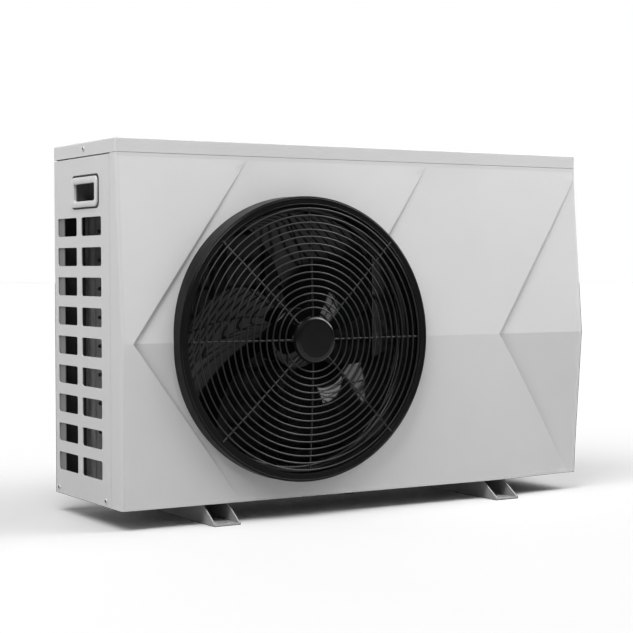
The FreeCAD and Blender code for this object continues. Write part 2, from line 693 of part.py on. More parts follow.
def blade_section(distance, angle, chord, pitch, thick):
    # A cambered section, flat in the plane across the blade's radius.
    radial = V(math.cos(angle), 0, math.sin(angle))
    tangent = V(-math.sin(angle), 0, math.cos(angle))
    along = tangent * math.cos(pitch) + Y_AXIS * math.sin(pitch)
    across = Y_AXIS * math.cos(pitch) - tangent * math.sin(pitch)
    centre = V(FAN_X, BLADE_Y, FAN_Z).add(radial * distance)
    sides = []
    for sign in (1, -1):
        points = []
        for k in range(7):
            t = k / 6
            rise = 0.22 * chord * t * (1 - t)
            half = thick * (0.16 + 0.84 * math.sin(math.pi * t) ** 0.6) / 2
            points.append(centre.add(along * (chord * (t - 0.5))).add(across * (rise + sign * half)))
        sides.append(points)
    top = Part.BSplineCurve()
    top.interpolate(sides[0])
    bottom = Part.BSplineCurve()
    bottom.interpolate(sides[1][::-1])
    return Part.Wire([top.toShape(), Part.makeLine(sides[0][-1], sides[1][-1]),
                      bottom.toShape(), Part.makeLine(sides[1][0], sides[0][0])])


def fan_blades():
    # A moulded hub with three broad sickle blades, trimmed to the tip circle.
    hub = [(SHAFT_R, HUB_Y0), (HUB_R - 6, HUB_Y0), (HUB_R, HUB_Y0 + 6), (HUB_R, HUB_Y1),
           (HUB_R - 4, HUB_Y1), (HUB_R - 4, HUB_Y0 + 10), (SHAFT_R + 9, HUB_Y0 + 10),
           (SHAFT_R + 9, HUB_Y1 - 4), (SHAFT_R, HUB_Y1 - 4)]
    body = ring_about(FAN_X, FAN_Z, hub)
    trim = tube(FAN_R, HUB_R - 2, (FAN_X, -60, FAN_Z), Y_AXIS, 140)
    for i in range(BLADES):
        start = math.radians(BLADE_START + 360 * i / BLADES)
        wires = [blade_section(d, start + math.radians(sweep), chord, math.radians(pitch), thick)
                 for d, sweep, chord, pitch, thick in BLADE_SHAPE]
        blade = Part.makeLoft(wires, True, False)
        body = body.fuse(blade.common(trim))
    return body


def fan_shaft():
    return rod(SHAFT_R, (FAN_X, HUB_Y0 - 10, FAN_Z), Y_AXIS, MOTOR_Y0 + 6 - HUB_Y0 + 10)


def hexagon(centre, across, axis, length, bore=0.0):
    # A hexagonal nut about an axis along X or Y.
    points = []
    for i in range(7):
        angle = math.radians(60 * i)
        a = across / math.sqrt(3) * math.cos(angle)
        b = across / math.sqrt(3) * math.sin(angle)
        offset = V(0, a, b) if axis.x else V(a, 0, b)
        points.append(V(*centre).add(offset))
    nut = Part.Face(Part.makePolygon(points)).extrude(axis * length)
    if bore:
        nut = nut.cut(rod(bore, V(*centre).sub(axis), axis, length + 2))
    return nut


def fan_nut():
    washer = tube(11.0, SHAFT_R, (FAN_X, HUB_Y0 - 1.6, FAN_Z), Y_AXIS, 1.6)
    nut = hexagon((FAN_X, HUB_Y0 - 8.4, FAN_Z), 17.0, Y_AXIS, 6.8, SHAFT_R)
    return washer.fuse(nut).removeSplitter()


def fan_motor():
    # A drum motor with a front boss and a mounting lug on each side of its back.
    drum = [(0, MOTOR_Y0), (MOTOR_R - 8, MOTOR_Y0), (MOTOR_R, MOTOR_Y0 + 8),
            (MOTOR_R, MOTOR_Y1 - 6), (MOTOR_R - 6, MOTOR_Y1), (0, MOTOR_Y1)]
    body = ring_about(FAN_X, FAN_Z, drum)
    boss = rod(20.0, (FAN_X, MOTOR_Y0 - 8, FAN_Z), Y_AXIS, 9)
    reach = RAIL_X + RAIL_HALF_W
    lug_back = RAIL_Y0 - 0.2
    lugs = box(FAN_X - reach, FAN_X + reach, lug_back - LUG_T, lug_back, FAN_Z - 40, FAN_Z + 40)
    bore = rod(SHAFT_R + 0.05, (FAN_X, MOTOR_Y0 - 20, FAN_Z), Y_AXIS, 30)
    return cut_all(fuse([body, boss, lugs]), [bore] + motor_holes())


def motor_places():
    # The motor's four screws: x and z.
    return [(FAN_X + dx, FAN_Z + dz) for dx in (-RAIL_X, RAIL_X) for dz in (-LUG_Z, LUG_Z)]


def motor_holes():
    return [rod(MOTOR_HOLE_R, (x, MOTOR_Y1 - 12, z), Y_AXIS, 26) for x, z in motor_places()]


def motor_bracket():
    # Two upright channels joined by cross straps at the bottom and the top.
    z0 = SHEET + 0.3
    z1 = SHEET_Z1 - 1
    half = RAIL_HALF_W
    parts = []
    for x in (FAN_X - RAIL_X, FAN_X + RAIL_X):
        channel = box(x - half, x + half, RAIL_Y0, RAIL_Y1, z0, z1)
        hollow = box(x - half + SHEET, x + half - SHEET, RAIL_Y0 + SHEET, RAIL_Y1 + 1, z0 - 1, z1 + 1)
        parts.append(channel.cut(hollow))
    reach = RAIL_X + half
    for z in (z0, z1 - SHEET):
        parts.append(box(FAN_X - reach, FAN_X + reach, RAIL_Y0, RAIL_Y1 + 14, z, z + SHEET))
    return cut_all(fuse(parts), motor_holes())


def motor_screws():
    seat = RAIL_Y0 - 0.2 - LUG_T
    return Part.makeCompound([screw(x, seat, z, Y_AXIS * -1, 4.0, 2.4, 1.95, 15.0)
                              for x, z in motor_places()])


# ---- coil --------------------------------------------------------------------------------------
def tube_levels():
    return [TUBE_Z0 + i * TUBE_PITCH for i in range(TUBE_LEVELS)]


def tube_bores(x0, length):
    # The holes for the tubes through the fins or an end plate.
    return Part.makeCompound([rod(TUBE_R + TUBE_PLAY, (x0, y, z), X_AXIS, length)
                              for z in tube_levels() for y in TUBE_Y])


def evaporator_fins():
    block = box(COIL_X0, COIL_X1, COIL_Y0, COIL_Y1, COIL_Z0, COIL_Z1)
    return block.cut(tube_bores(COIL_X0 - 2, COIL_X1 - COIL_X0 + 4))


def end_plate(x0, flange):
    # The coil's end plate. The left one has a flange with a bead, which carries on to the foam.
    plate = box(x0, x0 + SHEET, COIL_Y0, COIL_Y1, COIL_Z0, COIL_Z1)
    if flange:
        slope = 3.0
        bead_x = (x0 - 13, x0 - COIL_FLANGE + 12)
        xs = (x0, bead_x[0], bead_x[0] - slope, bead_x[1] + slope, bead_x[1], x0 - COIL_FLANGE)
        ys = (COIL_Y1, COIL_Y1, COIL_Y1 - BEAD, COIL_Y1 - BEAD, COIL_Y1, COIL_Y1)
        front = [V(x, y - SHEET, COIL_Z0) for x, y in zip(xs, ys)]
        rear = [V(x, y, COIL_Z0) for x, y in zip(xs, ys)][::-1]
        outline = Part.makePolygon(front + rear + [front[0]])
        plate = plate.fuse(Part.Face(outline).extrude(V(0, 0, COIL_Z1 - COIL_Z0)))
    return plate.cut(tube_bores(x0 - 2, SHEET + 4)).removeSplitter()


def evaporator_tubes():
    # Hairpins: each runs through the fins, bends at the left end and comes back.
    hairpins = []
    right = HEADER_X - HEADER_R - JOINT_GAP
    left = COIL_X0 - SHEET - 5.0
    bend = (TUBE_Y[1] - TUBE_Y[0]) / 2
    for z in tube_levels():
        go = Part.makeLine(V(right, TUBE_Y[0], z), V(left, TUBE_Y[0], z))
        turn = Part.Arc(V(left, TUBE_Y[0], z), V(left - bend, TUBE_Y[0] + bend, z),
                        V(left, TUBE_Y[1], z)).toShape()
        back = Part.makeLine(V(left, TUBE_Y[1], z), V(right, TUBE_Y[1], z))
        section = Part.Wire(Part.makeCircle(TUBE_R, V(right, TUBE_Y[0], z), X_AXIS))
        hairpins.append(Part.Wire([go, turn, back]).makePipeShell([section], True, False))
    return Part.makeCompound(hairpins)


def evaporator_headers():
    tail = 14.0
    length = TUBE_PITCH * (TUBE_LEVELS - 1) + 2 * tail
    return Part.makeCompound([rod(HEADER_R, (HEADER_X, y, TUBE_Z0 - tail), Z_AXIS, length) for y in TUBE_Y])


def coil_foam_seal():
    # A foam strip between the coil's flange and the corner post.
    x0 = POST_X + SHEET + 0.3
    x1 = COIL_X0 - SHEET - 0.1 - COIL_FLANGE - 0.5
    return soft_box(x0, x1, COIL_Y1 - 22, COIL_Y1, SHEET_Z0, COIL_Z1, Z_AXIS, 3)


# ---- refrigerant circuit -------------------------------------------------------------------------
def compressor_shell():
    # A drum with a domed top, a discharge stub and three feet.
    x, y = COMP
    r = COMP_R
    low, high = COMP_Z
    steps = 6
    profile = [(0, low), (r - 14, low), (r, low + 14)]
    for i in range(steps):
        angle = math.radians(90 * i / steps)
        profile.append((r * math.cos(angle), high + COMP_DOME * math.sin(angle)))
    profile.append((0, high + COMP_DOME))
    shell = turned(x, y, profile)
    bore = HOSE_R + 0.05
    stub = tube(bore + 1.55, bore, (OUTLET[0], OUTLET[1], high + 10), Z_AXIS, 28)
    core = rod(bore, (OUTLET[0], OUTLET[1], high + COMP_DOME), Z_AXIS, 20)
    feet = []
    for i in range(3):
        arm = box(0, GROMMET_REACH + 12, -15, 15, low - 4, low)
        arm = arm.makeFillet(12, edges_along(arm, Z_AXIS, lambda c: c.x > GROMMET_REACH))
        arm.rotate(V(0, 0, 0), Z_AXIS, 90 + 120 * i)
        arm.translate(V(x, y, 0))
        feet.append(arm)
    body = fuse([shell, stub] + feet).cut(core)
    return cut_all(body, [rod(4.2, (px, py, low - 10), Z_AXIS, 16) for px, py in grommet_places()])


def grommet_places():
    places = []
    for i in range(3):
        angle = math.radians(90 + 120 * i)
        places.append((COMP[0] + GROMMET_REACH * math.cos(angle),
                       COMP[1] + GROMMET_REACH * math.sin(angle)))
    return places


def compressor_grommets():
    # Rubber feet with a waist, between the pan and the compressor's feet.
    top = COMP_Z[0] - 4.2
    profile = [(0, SHEET), (13, SHEET), (13, 9), (9.5, 12), (9.5, 15), (13, 18), (13, top), (0, top)]
    return Part.makeCompound([turned(x, y, profile) for x, y in grommet_places()])


def compressor_bolts():
    low = COMP_Z[0]
    bolts = []
    for x, y in grommet_places():
        shank = rod(4.1, (x, y, low - 4.1), Z_AXIS, 9)
        bolts.append(shank.fuse(rod(8.0, (x, y, low + 0.1), Z_AXIS, 5)))
    return Part.makeCompound(bolts)


def accumulator():
    # A can with tapered ends and a strap round its middle.
    x, y = ACC
    low, high = ACC_Z
    end = 12.0
    profile = [(0, low), (ACC_R - end, low), (ACC_R, low + end), (ACC_R, high - end),
               (ACC_R - end, high), (0, high)]
    strap = tube(ACC_R + 2, ACC_R - 0.5, (x, y, (low + high) / 2), Z_AXIS, 14)
    return turned(x, y, profile).fuse(strap).removeSplitter()


def four_way_valve():
    # A horizontal barrel with one stub above, three below and a pilot coil in front.
    x, y, z = VALVE
    barrel_r = 13.0
    barrel = rod(barrel_r, (x - 38, y, z), X_AXIS, 76)
    barrel = barrel.makeFillet(5.0, rim_edges(barrel, barrel_r))
    stub_r = HOSE_R + 1.2
    stubs = [rod(stub_r, (x, y, z), Z_AXIS, STUB)]
    stubs += [rod(stub_r, (x + dx, y, z - STUB), Z_AXIS, STUB) for dx in (-STUB_DX, 0, STUB_DX)]
    pilot = soft_box(x - 18, x + 18, y - 40, y - 10, z - 10, z + 12, X_AXIS, 3)
    return fuse([barrel] + stubs + [pilot])


def expansion_valve():
    x, y = EXV
    low, middle, high = EXV_Z
    head_r = 15.0
    head = rod(head_r, (x, y, middle), Z_AXIS, high - middle)
    head = head.makeFillet(2.0, rim_edges(head, head_r))
    return fuse([rod(10.0, (x, y, low), Z_AXIS, middle - low), head])


def toward_exchanger(x, y, z):
    # The point just outside the exchanger's shell on the line from (x, y) to its centre.
    away = V(x - HEX[0], y - HEX[1], 0).normalize()
    return (HEX[0] + away.x * (HEX_R + 0.4), HEX[1] + away.y * (HEX_R + 0.4), z)


def refrigerant_pipes():
    # Each pipe stops just short of the pieces that it is brazed to.
    gap = 0.2
    vx, vy, vz = VALVE
    ex, ey = EXV
    over_z = 404.0
    under_z = 316.0
    low_z = 62.0
    turn_x = (200.0, 185.0)
    above = vz + STUB + gap
    below = vz - STUB - gap
    header_x = HEADER_X + HEADER_R + JOINT_GAP
    discharge = pipe([(OUTLET[0], OUTLET[1], COMP_Z[1] + COMP_DOME + gap), (OUTLET[0], OUTLET[1], over_z),
                      (vx, vy, over_z), (vx, vy, above)], HOSE_R, PIPE_BEND)
    suction = pipe([(vx, vy, below), (vx, vy, under_z), (ACC[0], ACC[1], under_z),
                    (ACC[0], ACC[1], ACC_Z[1] + gap)], HOSE_R, PIPE_BEND)
    gas = pipe([(vx - STUB_DX, vy, below), (vx - STUB_DX, vy, GAS_Z), (turn_x[0], TUBE_Y[1], GAS_Z),
                (header_x, TUBE_Y[1], GAS_Z)], HOSE_R, PIPE_BEND)
    hot = pipe([(vx + STUB_DX, vy, below), (vx + STUB_DX, vy, GAS_Z),
                toward_exchanger(vx + STUB_DX, vy, GAS_Z)], HOSE_R, PIPE_BEND)
    dx = COMP[0] - ACC[0]
    dy = COMP[1] - ACC[1]
    reach = 1 - (COMP_R + 0.4) / math.hypot(dx, dy)
    inlet = pipe([(ACC[0], ACC[1], ACC_Z[0] - gap), (ACC[0], ACC[1], low_z),
                  (ACC[0] + dx * reach, ACC[1] + dy * reach, low_z)], HOSE_R, PIPE_BEND)
    liquid_in = pipe([toward_exchanger(ex, ey, 60), (ex, ey, 60), (ex, ey, EXV_Z[0] - gap)],
                     LINE_R, PIPE_BEND)
    liquid_out = pipe([(ex, ey, EXV_Z[2] + gap), (ex, ey, LIQUID_Z), (turn_x[1], ey, LIQUID_Z),
                       (turn_x[1], TUBE_Y[0], LIQUID_Z), (header_x, TUBE_Y[0], LIQUID_Z)],
                      LINE_R, PIPE_BEND)
    add("discharge_pipe", discharge)
    add("suction_pipe", suction)
    add("evaporator_gas_pipe", gas)
    add("exchanger_gas_pipe", hot)
    add("compressor_inlet_pipe", inlet)
    add("liquid_pipes", Part.makeCompound([liquid_in, liquid_out]))


# ---- water side ------------------------------------------------------------------------------------
def exchanger_shell():
    x, y = HEX
    wall = 5.0
    profile = [(0, HEX_Z0), (HEX_R - 8, HEX_Z0), (HEX_R, HEX_Z0 + 8), (HEX_R, HEX_Z1 - 8),
               (HEX_R - 8, HEX_Z1), (0, HEX_Z1), (0, HEX_Z1 - wall), (HEX_R - 10, HEX_Z1 - wall),
               (HEX_R - wall, HEX_Z1 - 10), (HEX_R - wall, HEX_Z0 + 10),
               (HEX_R - 10, HEX_Z0 + wall), (0, HEX_Z0 + wall)]
    shell = turned(x, y, profile)
    foot_ring = tube(HEX_R - 14, HEX_R - 20, (x, y, SHEET + 0.3), Z_AXIS, HEX_Z0 - SHEET - 0.2)
    holes = [rod(PORT_R - 0.2, (x, y, z), X_AXIS, HEX_R + 10) for z in PORT_Z]
    return cut_all(shell.fuse(foot_ring), holes)


def titanium_coil():
    # The exchanger's inner coil, as a stack of turns on a riser.
    x, y = HEX
    turns = []
    for i in range(9):
        turns.append(Part.makeTorus(30.0, 4.5, V(x, y, 66 + i * 36), Z_AXIS))
    riser = rod(4.0, (x - 30.0, y, 60), Z_AXIS, 300)
    return riser.multiFuse(turns)


def water_port(z):
    # A stub from the exchanger through the side panel, with an end flange.
    x0 = HEX[0] + HEX_R - 8
    x1 = HIGH_X
    body = rod(PORT_R - 0.4, (x0, PORT_Y, z), X_AXIS, x1 - x0)
    collar = rod(PORT_R, (HALF_W - 6, PORT_Y, z), X_AXIS, x1 - HALF_W + 6)
    flange = rod(PORT_R + 4.0, (x1 - 4.0, PORT_Y, z), X_AXIS, 4.0)
    shoulder = rod(PORT_R + 5.0, (HALF_W + 0.4, PORT_Y, z), X_AXIS, 6.0)
    bore = rod(PORT_BORE, (x0 - 1, PORT_Y, z), X_AXIS, x1 - x0 + 2)
    return fuse([body, collar, flange, shoulder]).cut(bore)


def union_nut(z):
    # A ribbed plastic nut that turns freely on the stub, held by its end flange.
    x0 = HALF_W + NUT_X
    body = rod(NUT_R, (x0, PORT_Y, z), X_AXIS, NUT_L)
    body = body.makeFillet(2.0, rim_edges(body, NUT_R))
    bars = []
    for i in range(NUT_RIBS):
        bar = box(x0 + 2, x0 + NUT_L - 2, -3.4, 3.4, NUT_R - 3, NUT_R + 3)
        bar = bar.makeFillet(1.2, edges_along(bar, X_AXIS, lambda c: c.z > NUT_R))
        bar.rotate(V(0, 0, 0), X_AXIS, 360 * i / NUT_RIBS)
        bar.translate(V(0, PORT_Y, z))
        bars.append(bar)
    bore = rod(PORT_R + RING_GAP, (x0 - 1, PORT_Y, z), X_AXIS, NUT_L + 2)
    return fuse([body] + bars).cut(bore)


def flow_switch():
    x, y = HEX
    z = PORT_Z[0] + 66
    neck = rod(9.0, (x, y - HEX_R - 10, z), Y_AXIS, 10.2)
    neck = neck.cut(rod(HEX_R + 0.3, (x, y, z - 20), Z_AXIS, 40))
    head = soft_box(x - 17, x + 17, y - HEX_R - 34, y - HEX_R - 10, z - 22, z + 22, Y_AXIS, 5)
    return head.fuse(neck).removeSplitter()


def drain_spigot():
    # A spigot with a flange under the pan, a nut above it and a bore right through.
    bore = 6.0
    flange_r = 14.0
    nut_r = 12.0
    top = SHEET + 2
    profile = [(bore, -24), (bore + 2, -24), (DRAIN_R, -20), (DRAIN_R, -2), (flange_r, -2),
               (flange_r, -0.2), (DRAIN_R, -0.2), (DRAIN_R, SHEET + 0.2), (nut_r, SHEET + 0.2),
               (nut_r, top), (bore, top)]
    return turned(DRAIN_X, DRAIN_Y, profile)


# ---- electrics ---------------------------------------------------------------------------------------
def electrical_box():
    x0, x1, y0, y1, z0, z1 = EBOX
    outer = box(x0, x1, y0, y1, z0, z1)
    inner = box(x0 + SHEET, x1 - SHEET, y0 + SHEET, y1 - SHEET, z0 + SHEET, z1 + 1)
    entry = box(x1 - 4, x1 + 4, 90, 170, z0 + 12, z0 + 42)
    sink_hole = box(x0 - 4, x0 + 4, SINK[0] + 6, SINK[1] - 6, SINK[2] + 6, SINK[3] - 6)
    return cut_all(outer.cut(inner), [entry, sink_hole])


def electrical_box_lid():
    x0, x1, y0, y1, z0, z1 = EBOX
    return box(x0 - 1, x1 + 1, y0 - 1, y1 + 1, z1 + 0.2, z1 + 0.2 + SHEET)


def control_board():
    # The board on four pillars, with its tall parts as blocks and cans.
    x0, x1, y0, y1, z0, z1 = EBOX
    top = z0 + 14
    parts = [box(x0 + 30, x1 - 60, y0 + 16, y1 - 16, top, top + 1.6)]
    for x in (x0 + 40, x1 - 70):
        for y in (y0 + 26, y1 - 26):
            parts.append(rod(4, (x, y, z0 + SHEET + 0.1), Z_AXIS, top - z0 - SHEET + 0.4))
    for i in range(4):
        parts.append(rod(11, (x0 + 60 + i * 27, y0 + 50, top + 1), Z_AXIS, 42))
    parts.append(box(x0 + 50, x0 + 95, y1 - 80, y1 - 40, top + 1, top + 34))
    parts.append(box(x0 + 110, x0 + 140, y1 - 76, y1 - 44, top + 1, top + 22))
    parts.append(box(x0 + 150, x0 + 170, y0 + 90, y1 - 40, top + 1, top + 16))
    return fuse(parts)


def heat_sink():
    # A finned sink on the box's wall: its fins reach through the partition into the fan's air.
    y0, y1, z0, z1 = SINK
    base_x = EBOX[0] - 0.2
    parts = [box(base_x - 6, base_x, y0, y1, z0, z1)]
    fins = 12
    for i in range(fins):
        y = y0 + 1 + i * (y1 - y0 - 4) / (fins - 1)
        parts.append(box(WALL_X - 26, base_x - 5.9, y, y + 2, z0, z1))
    return fuse(parts)


def terminal_block():
    x1 = EBOX[1] - SHEET - 4
    z0 = EBOX[4] + SHEET + 0.2
    body = box(x1 - 30, x1, 84, 176, z0, z0 + 24)
    notches = []
    for i in range(6):
        notches.append(box(x1 - 22, x1 - 8, 89 + i * 14, 98 + i * 14, z0 + 16, z0 + 30))
    return cut_all(body, notches)


def cable_glands():
    # Each gland: a threaded seat, a nut inside, a nut outside and a domed cap with a bore.
    glands = []
    x = HALF_W
    dome_end = x + 20
    for z in GLAND_Z:
        seat = rod(GLAND_R, (x - 9, GLAND_Y, z), X_AXIS, 17)
        inner_nut = hexagon((x - SHEET - 5.3, GLAND_Y, z), 22.0, X_AXIS, 5.0)
        outer_nut = hexagon((x + 0.3, GLAND_Y, z), 22.0, X_AXIS, 6.0)
        dome = rod(10.0, (x + 6, GLAND_Y, z), X_AXIS, 14)
        end = [edge for edge in dome.Edges if abs(edge.CenterOfMass.x - dome_end) < 0.01]
        dome = dome.makeFillet(4.0, end)
        bore = rod(GLAND_BORE, (x - 20, GLAND_Y, z), X_AXIS, 60)
        glands.append(fuse([seat, inner_nut, outer_nut, dome]).cut(bore))
    return Part.makeCompound(glands)


def wiring_cover():
    # A shallow hollow cover over the terminals' window.
    x = HALF_W + 0.2
    depth = 9.0
    cover = soft_box(x, x + depth, WIRING_Y0, WIRING_Y1, WIRING_Z0, WIRING_Z1, X_AXIS, 8)
    rim = [edge for edge in cover.Edges if abs(edge.CenterOfMass.x - x - depth) < 0.01]
    cover = cover.makeFillet(3.0, rim)
    hollow = soft_box(x - 1, x + depth - 2.5, WIRING_Y0 + 14, WIRING_Y1 - 14,
                      WIRING_Z0 + 3, WIRING_Z1 - 3, X_AXIS, 5)
    holes = [rod(2.1, (x - 2, y, z), X_AXIS, 14) for y, z in wiring_screw_places()]
    return cut_all(cover, [hollow] + holes)


def wiring_screw_places():
    z = (WIRING_Z0 + WIRING_Z1) / 2
    return [(WIRING_Y0 + 7, z), (WIRING_Y1 - 7, z)]


# ---- fasteners ---------------------------------------------------------------------------------------
def lid_screws():
    return Part.makeCompound([screw(x, y, z, axis, 4.0, 2.0, 1.9, PANEL_SCREW)
                              for x, y, z, axis in lid_screw_places()])


def panel_screws():
    return Part.makeCompound([screw(x, y, z, axis, 4.0, 2.0, 1.9, PANEL_SCREW)
                              for x, y, z, axis in panel_screw_places()])


def wiring_cover_screws():
    seat = HALF_W + 9.2
    return Part.makeCompound([screw(seat, y, z, X_AXIS, 3.8, 1.8, 1.9, 9.0)
                              for y, z in wiring_screw_places()])


def foot_bolt_set():
    bolts = []
    for foot_x in FOOT_X:
        for x, y in foot_bolts(foot_x):
            head = hexagon_up((x, y, SHEET + 0.05), 10.0, 4.0)
            shank = rod(3.0, (x, y, -9), Z_AXIS, SHEET + 9.1)
            nut = hexagon_up((x, y, -7.6), 10.0, 5.0)
            bolts.append(fuse([head, shank, nut]))
    return Part.makeCompound(bolts)


def hexagon_up(centre, across, length):
    points = []
    for i in range(7):
        angle = math.radians(60 * i)
        points.append(V(centre[0] + across / math.sqrt(3) * math.cos(angle),
                        centre[1] + across / math.sqrt(3) * math.sin(angle), centre[2]))
    return Part.Face(Part.makePolygon(points)).extrude(V(0, 0, length))


# ---- the whole unit ------------------------------------------------------------------------------------
def build():
    cabinet()
    add("handle_cup_left", handle_cup(-1))
    add("handle_cup_right", handle_cup(1))
    add("rear_guard", rear_guard())
    add("rear_corner_post", rear_corner_post())
    add("rear_panel", rear_panel())
    add("partition_panel", partition_panel())
    add("fan_bezel", fan_bezel())
    add("fan_shroud", fan_shroud())
    add("wire_guard", wire_guard())
    add("guard_cap", guard_cap())
    add("fan_blades", fan_blades())
    add("fan_shaft", fan_shaft())
    add("fan_nut", fan_nut())
    add("fan_motor", fan_motor())
    add("motor_bracket", motor_bracket())
    add("motor_screws", motor_screws())
    add("evaporator_fins", evaporator_fins())
    add("evaporator_plate_left", end_plate(COIL_X0 - SHEET - 0.1, True))
    add("evaporator_plate_right", end_plate(COIL_X1 + 0.1, False))
    add("evaporator_tubes", evaporator_tubes())
    add("evaporator_headers", evaporator_headers())
    add("coil_foam_seal", coil_foam_seal())
    add("compressor_shell", compressor_shell())
    add("compressor_grommets", compressor_grommets())
    add("compressor_bolts", compressor_bolts())
    add("accumulator", accumulator())
    add("four_way_valve", four_way_valve())
    add("expansion_valve", expansion_valve())
    refrigerant_pipes()
    add("exchanger_shell", exchanger_shell())
    add("titanium_coil", titanium_coil())
    add("water_inlet", water_port(PORT_Z[0]))
    add("water_outlet", water_port(PORT_Z[1]))
    add("inlet_union_nut", union_nut(PORT_Z[0]))
    add("outlet_union_nut", union_nut(PORT_Z[1]))
    add("flow_switch", flow_switch())
    add("drain_spigot", drain_spigot())
    add("electrical_box", electrical_box())
    add("electrical_box_lid", electrical_box_lid())
    add("control_board", control_board())
    add("heat_sink", heat_sink())
    add("terminal_block", terminal_block())
    add("cable_glands", cable_glands())
    add("wiring_cover", wiring_cover())
    add("wiring_cover_screws", wiring_cover_screws())
    add("lid_screws", lid_screws())
    add("panel_screws", panel_screws())
    add("foot_bolts", foot_bolt_set())


def export():
    os.makedirs("parts", exist_ok=True)
    for name, shape in NODES.items():
        moved = shape.copy()
        moved.translate(SHIFT)
        moved.exportStep("parts/" + name + ".step")
        solids = len(moved.Solids)
        print(name, "solids", solids, "valid", moved.isValid(), "volume", round(moved.Volume))


build()
export()
print("row origin in the modelling frame", tuple(-SHIFT))
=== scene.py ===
import json
import math

import bmesh
import bpy
import numpy as np
from mathutils import Matrix, Vector


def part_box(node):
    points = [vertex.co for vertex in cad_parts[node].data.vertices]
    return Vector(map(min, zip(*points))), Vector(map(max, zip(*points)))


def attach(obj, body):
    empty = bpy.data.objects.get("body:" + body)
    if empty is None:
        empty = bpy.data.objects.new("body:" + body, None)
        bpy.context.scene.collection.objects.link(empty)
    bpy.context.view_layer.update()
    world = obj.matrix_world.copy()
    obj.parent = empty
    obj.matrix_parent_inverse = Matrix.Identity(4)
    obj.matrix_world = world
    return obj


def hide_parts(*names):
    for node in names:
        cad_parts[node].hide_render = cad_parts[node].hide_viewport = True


# A pool heat pump: a faceted grey cabinet on two rails, with one fan behind a ring guard.
# Shapes are given in mm in the cabinet's own frame: x from its middle, y back from the lid's
# front edge, z up from the front panel's bottom. at() turns them into metres in the CAD's frame.

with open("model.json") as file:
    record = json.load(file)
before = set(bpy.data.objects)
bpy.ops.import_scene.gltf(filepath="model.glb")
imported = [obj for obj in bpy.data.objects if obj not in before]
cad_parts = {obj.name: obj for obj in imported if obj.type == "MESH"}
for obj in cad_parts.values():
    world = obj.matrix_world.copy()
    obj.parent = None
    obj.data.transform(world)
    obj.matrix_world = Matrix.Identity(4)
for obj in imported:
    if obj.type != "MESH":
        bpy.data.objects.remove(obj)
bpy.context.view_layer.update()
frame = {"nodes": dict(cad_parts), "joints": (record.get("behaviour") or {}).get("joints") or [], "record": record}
NODES = frame["nodes"]
JOINTS = {joint["name"]: joint for joint in frame["joints"]}
MM = 0.001

lid_low, lid_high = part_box("top_cover")
skin_low, skin_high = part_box("front_panel")
ORIGIN = Vector(((lid_low.x + lid_high.x) / 2, lid_low.y, skin_low.z))
FAN_AXIS = (Vector(JOINTS["fan_spin"]["pos_m"]) - ORIGIN) / MM
FAN_X = FAN_AXIS.x
FAN_Z = FAN_AXIS.z
HALF_W = (lid_high.x - lid_low.x) / MM / 2


def at(x, y, z):
    return ORIGIN + Vector((x, y, z)) * MM


def near(node):
    # A node's box in the cabinet's frame, in mm.
    low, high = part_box(node)
    return (low - ORIGIN) / MM, (high - ORIGIN) / MM


# ---- materials ----------------------------------------------------------------------------------
# A Mix node's colour sockets.
MIX_BASE = 6
MIX_OTHER = 7
MIX_RESULT = 2


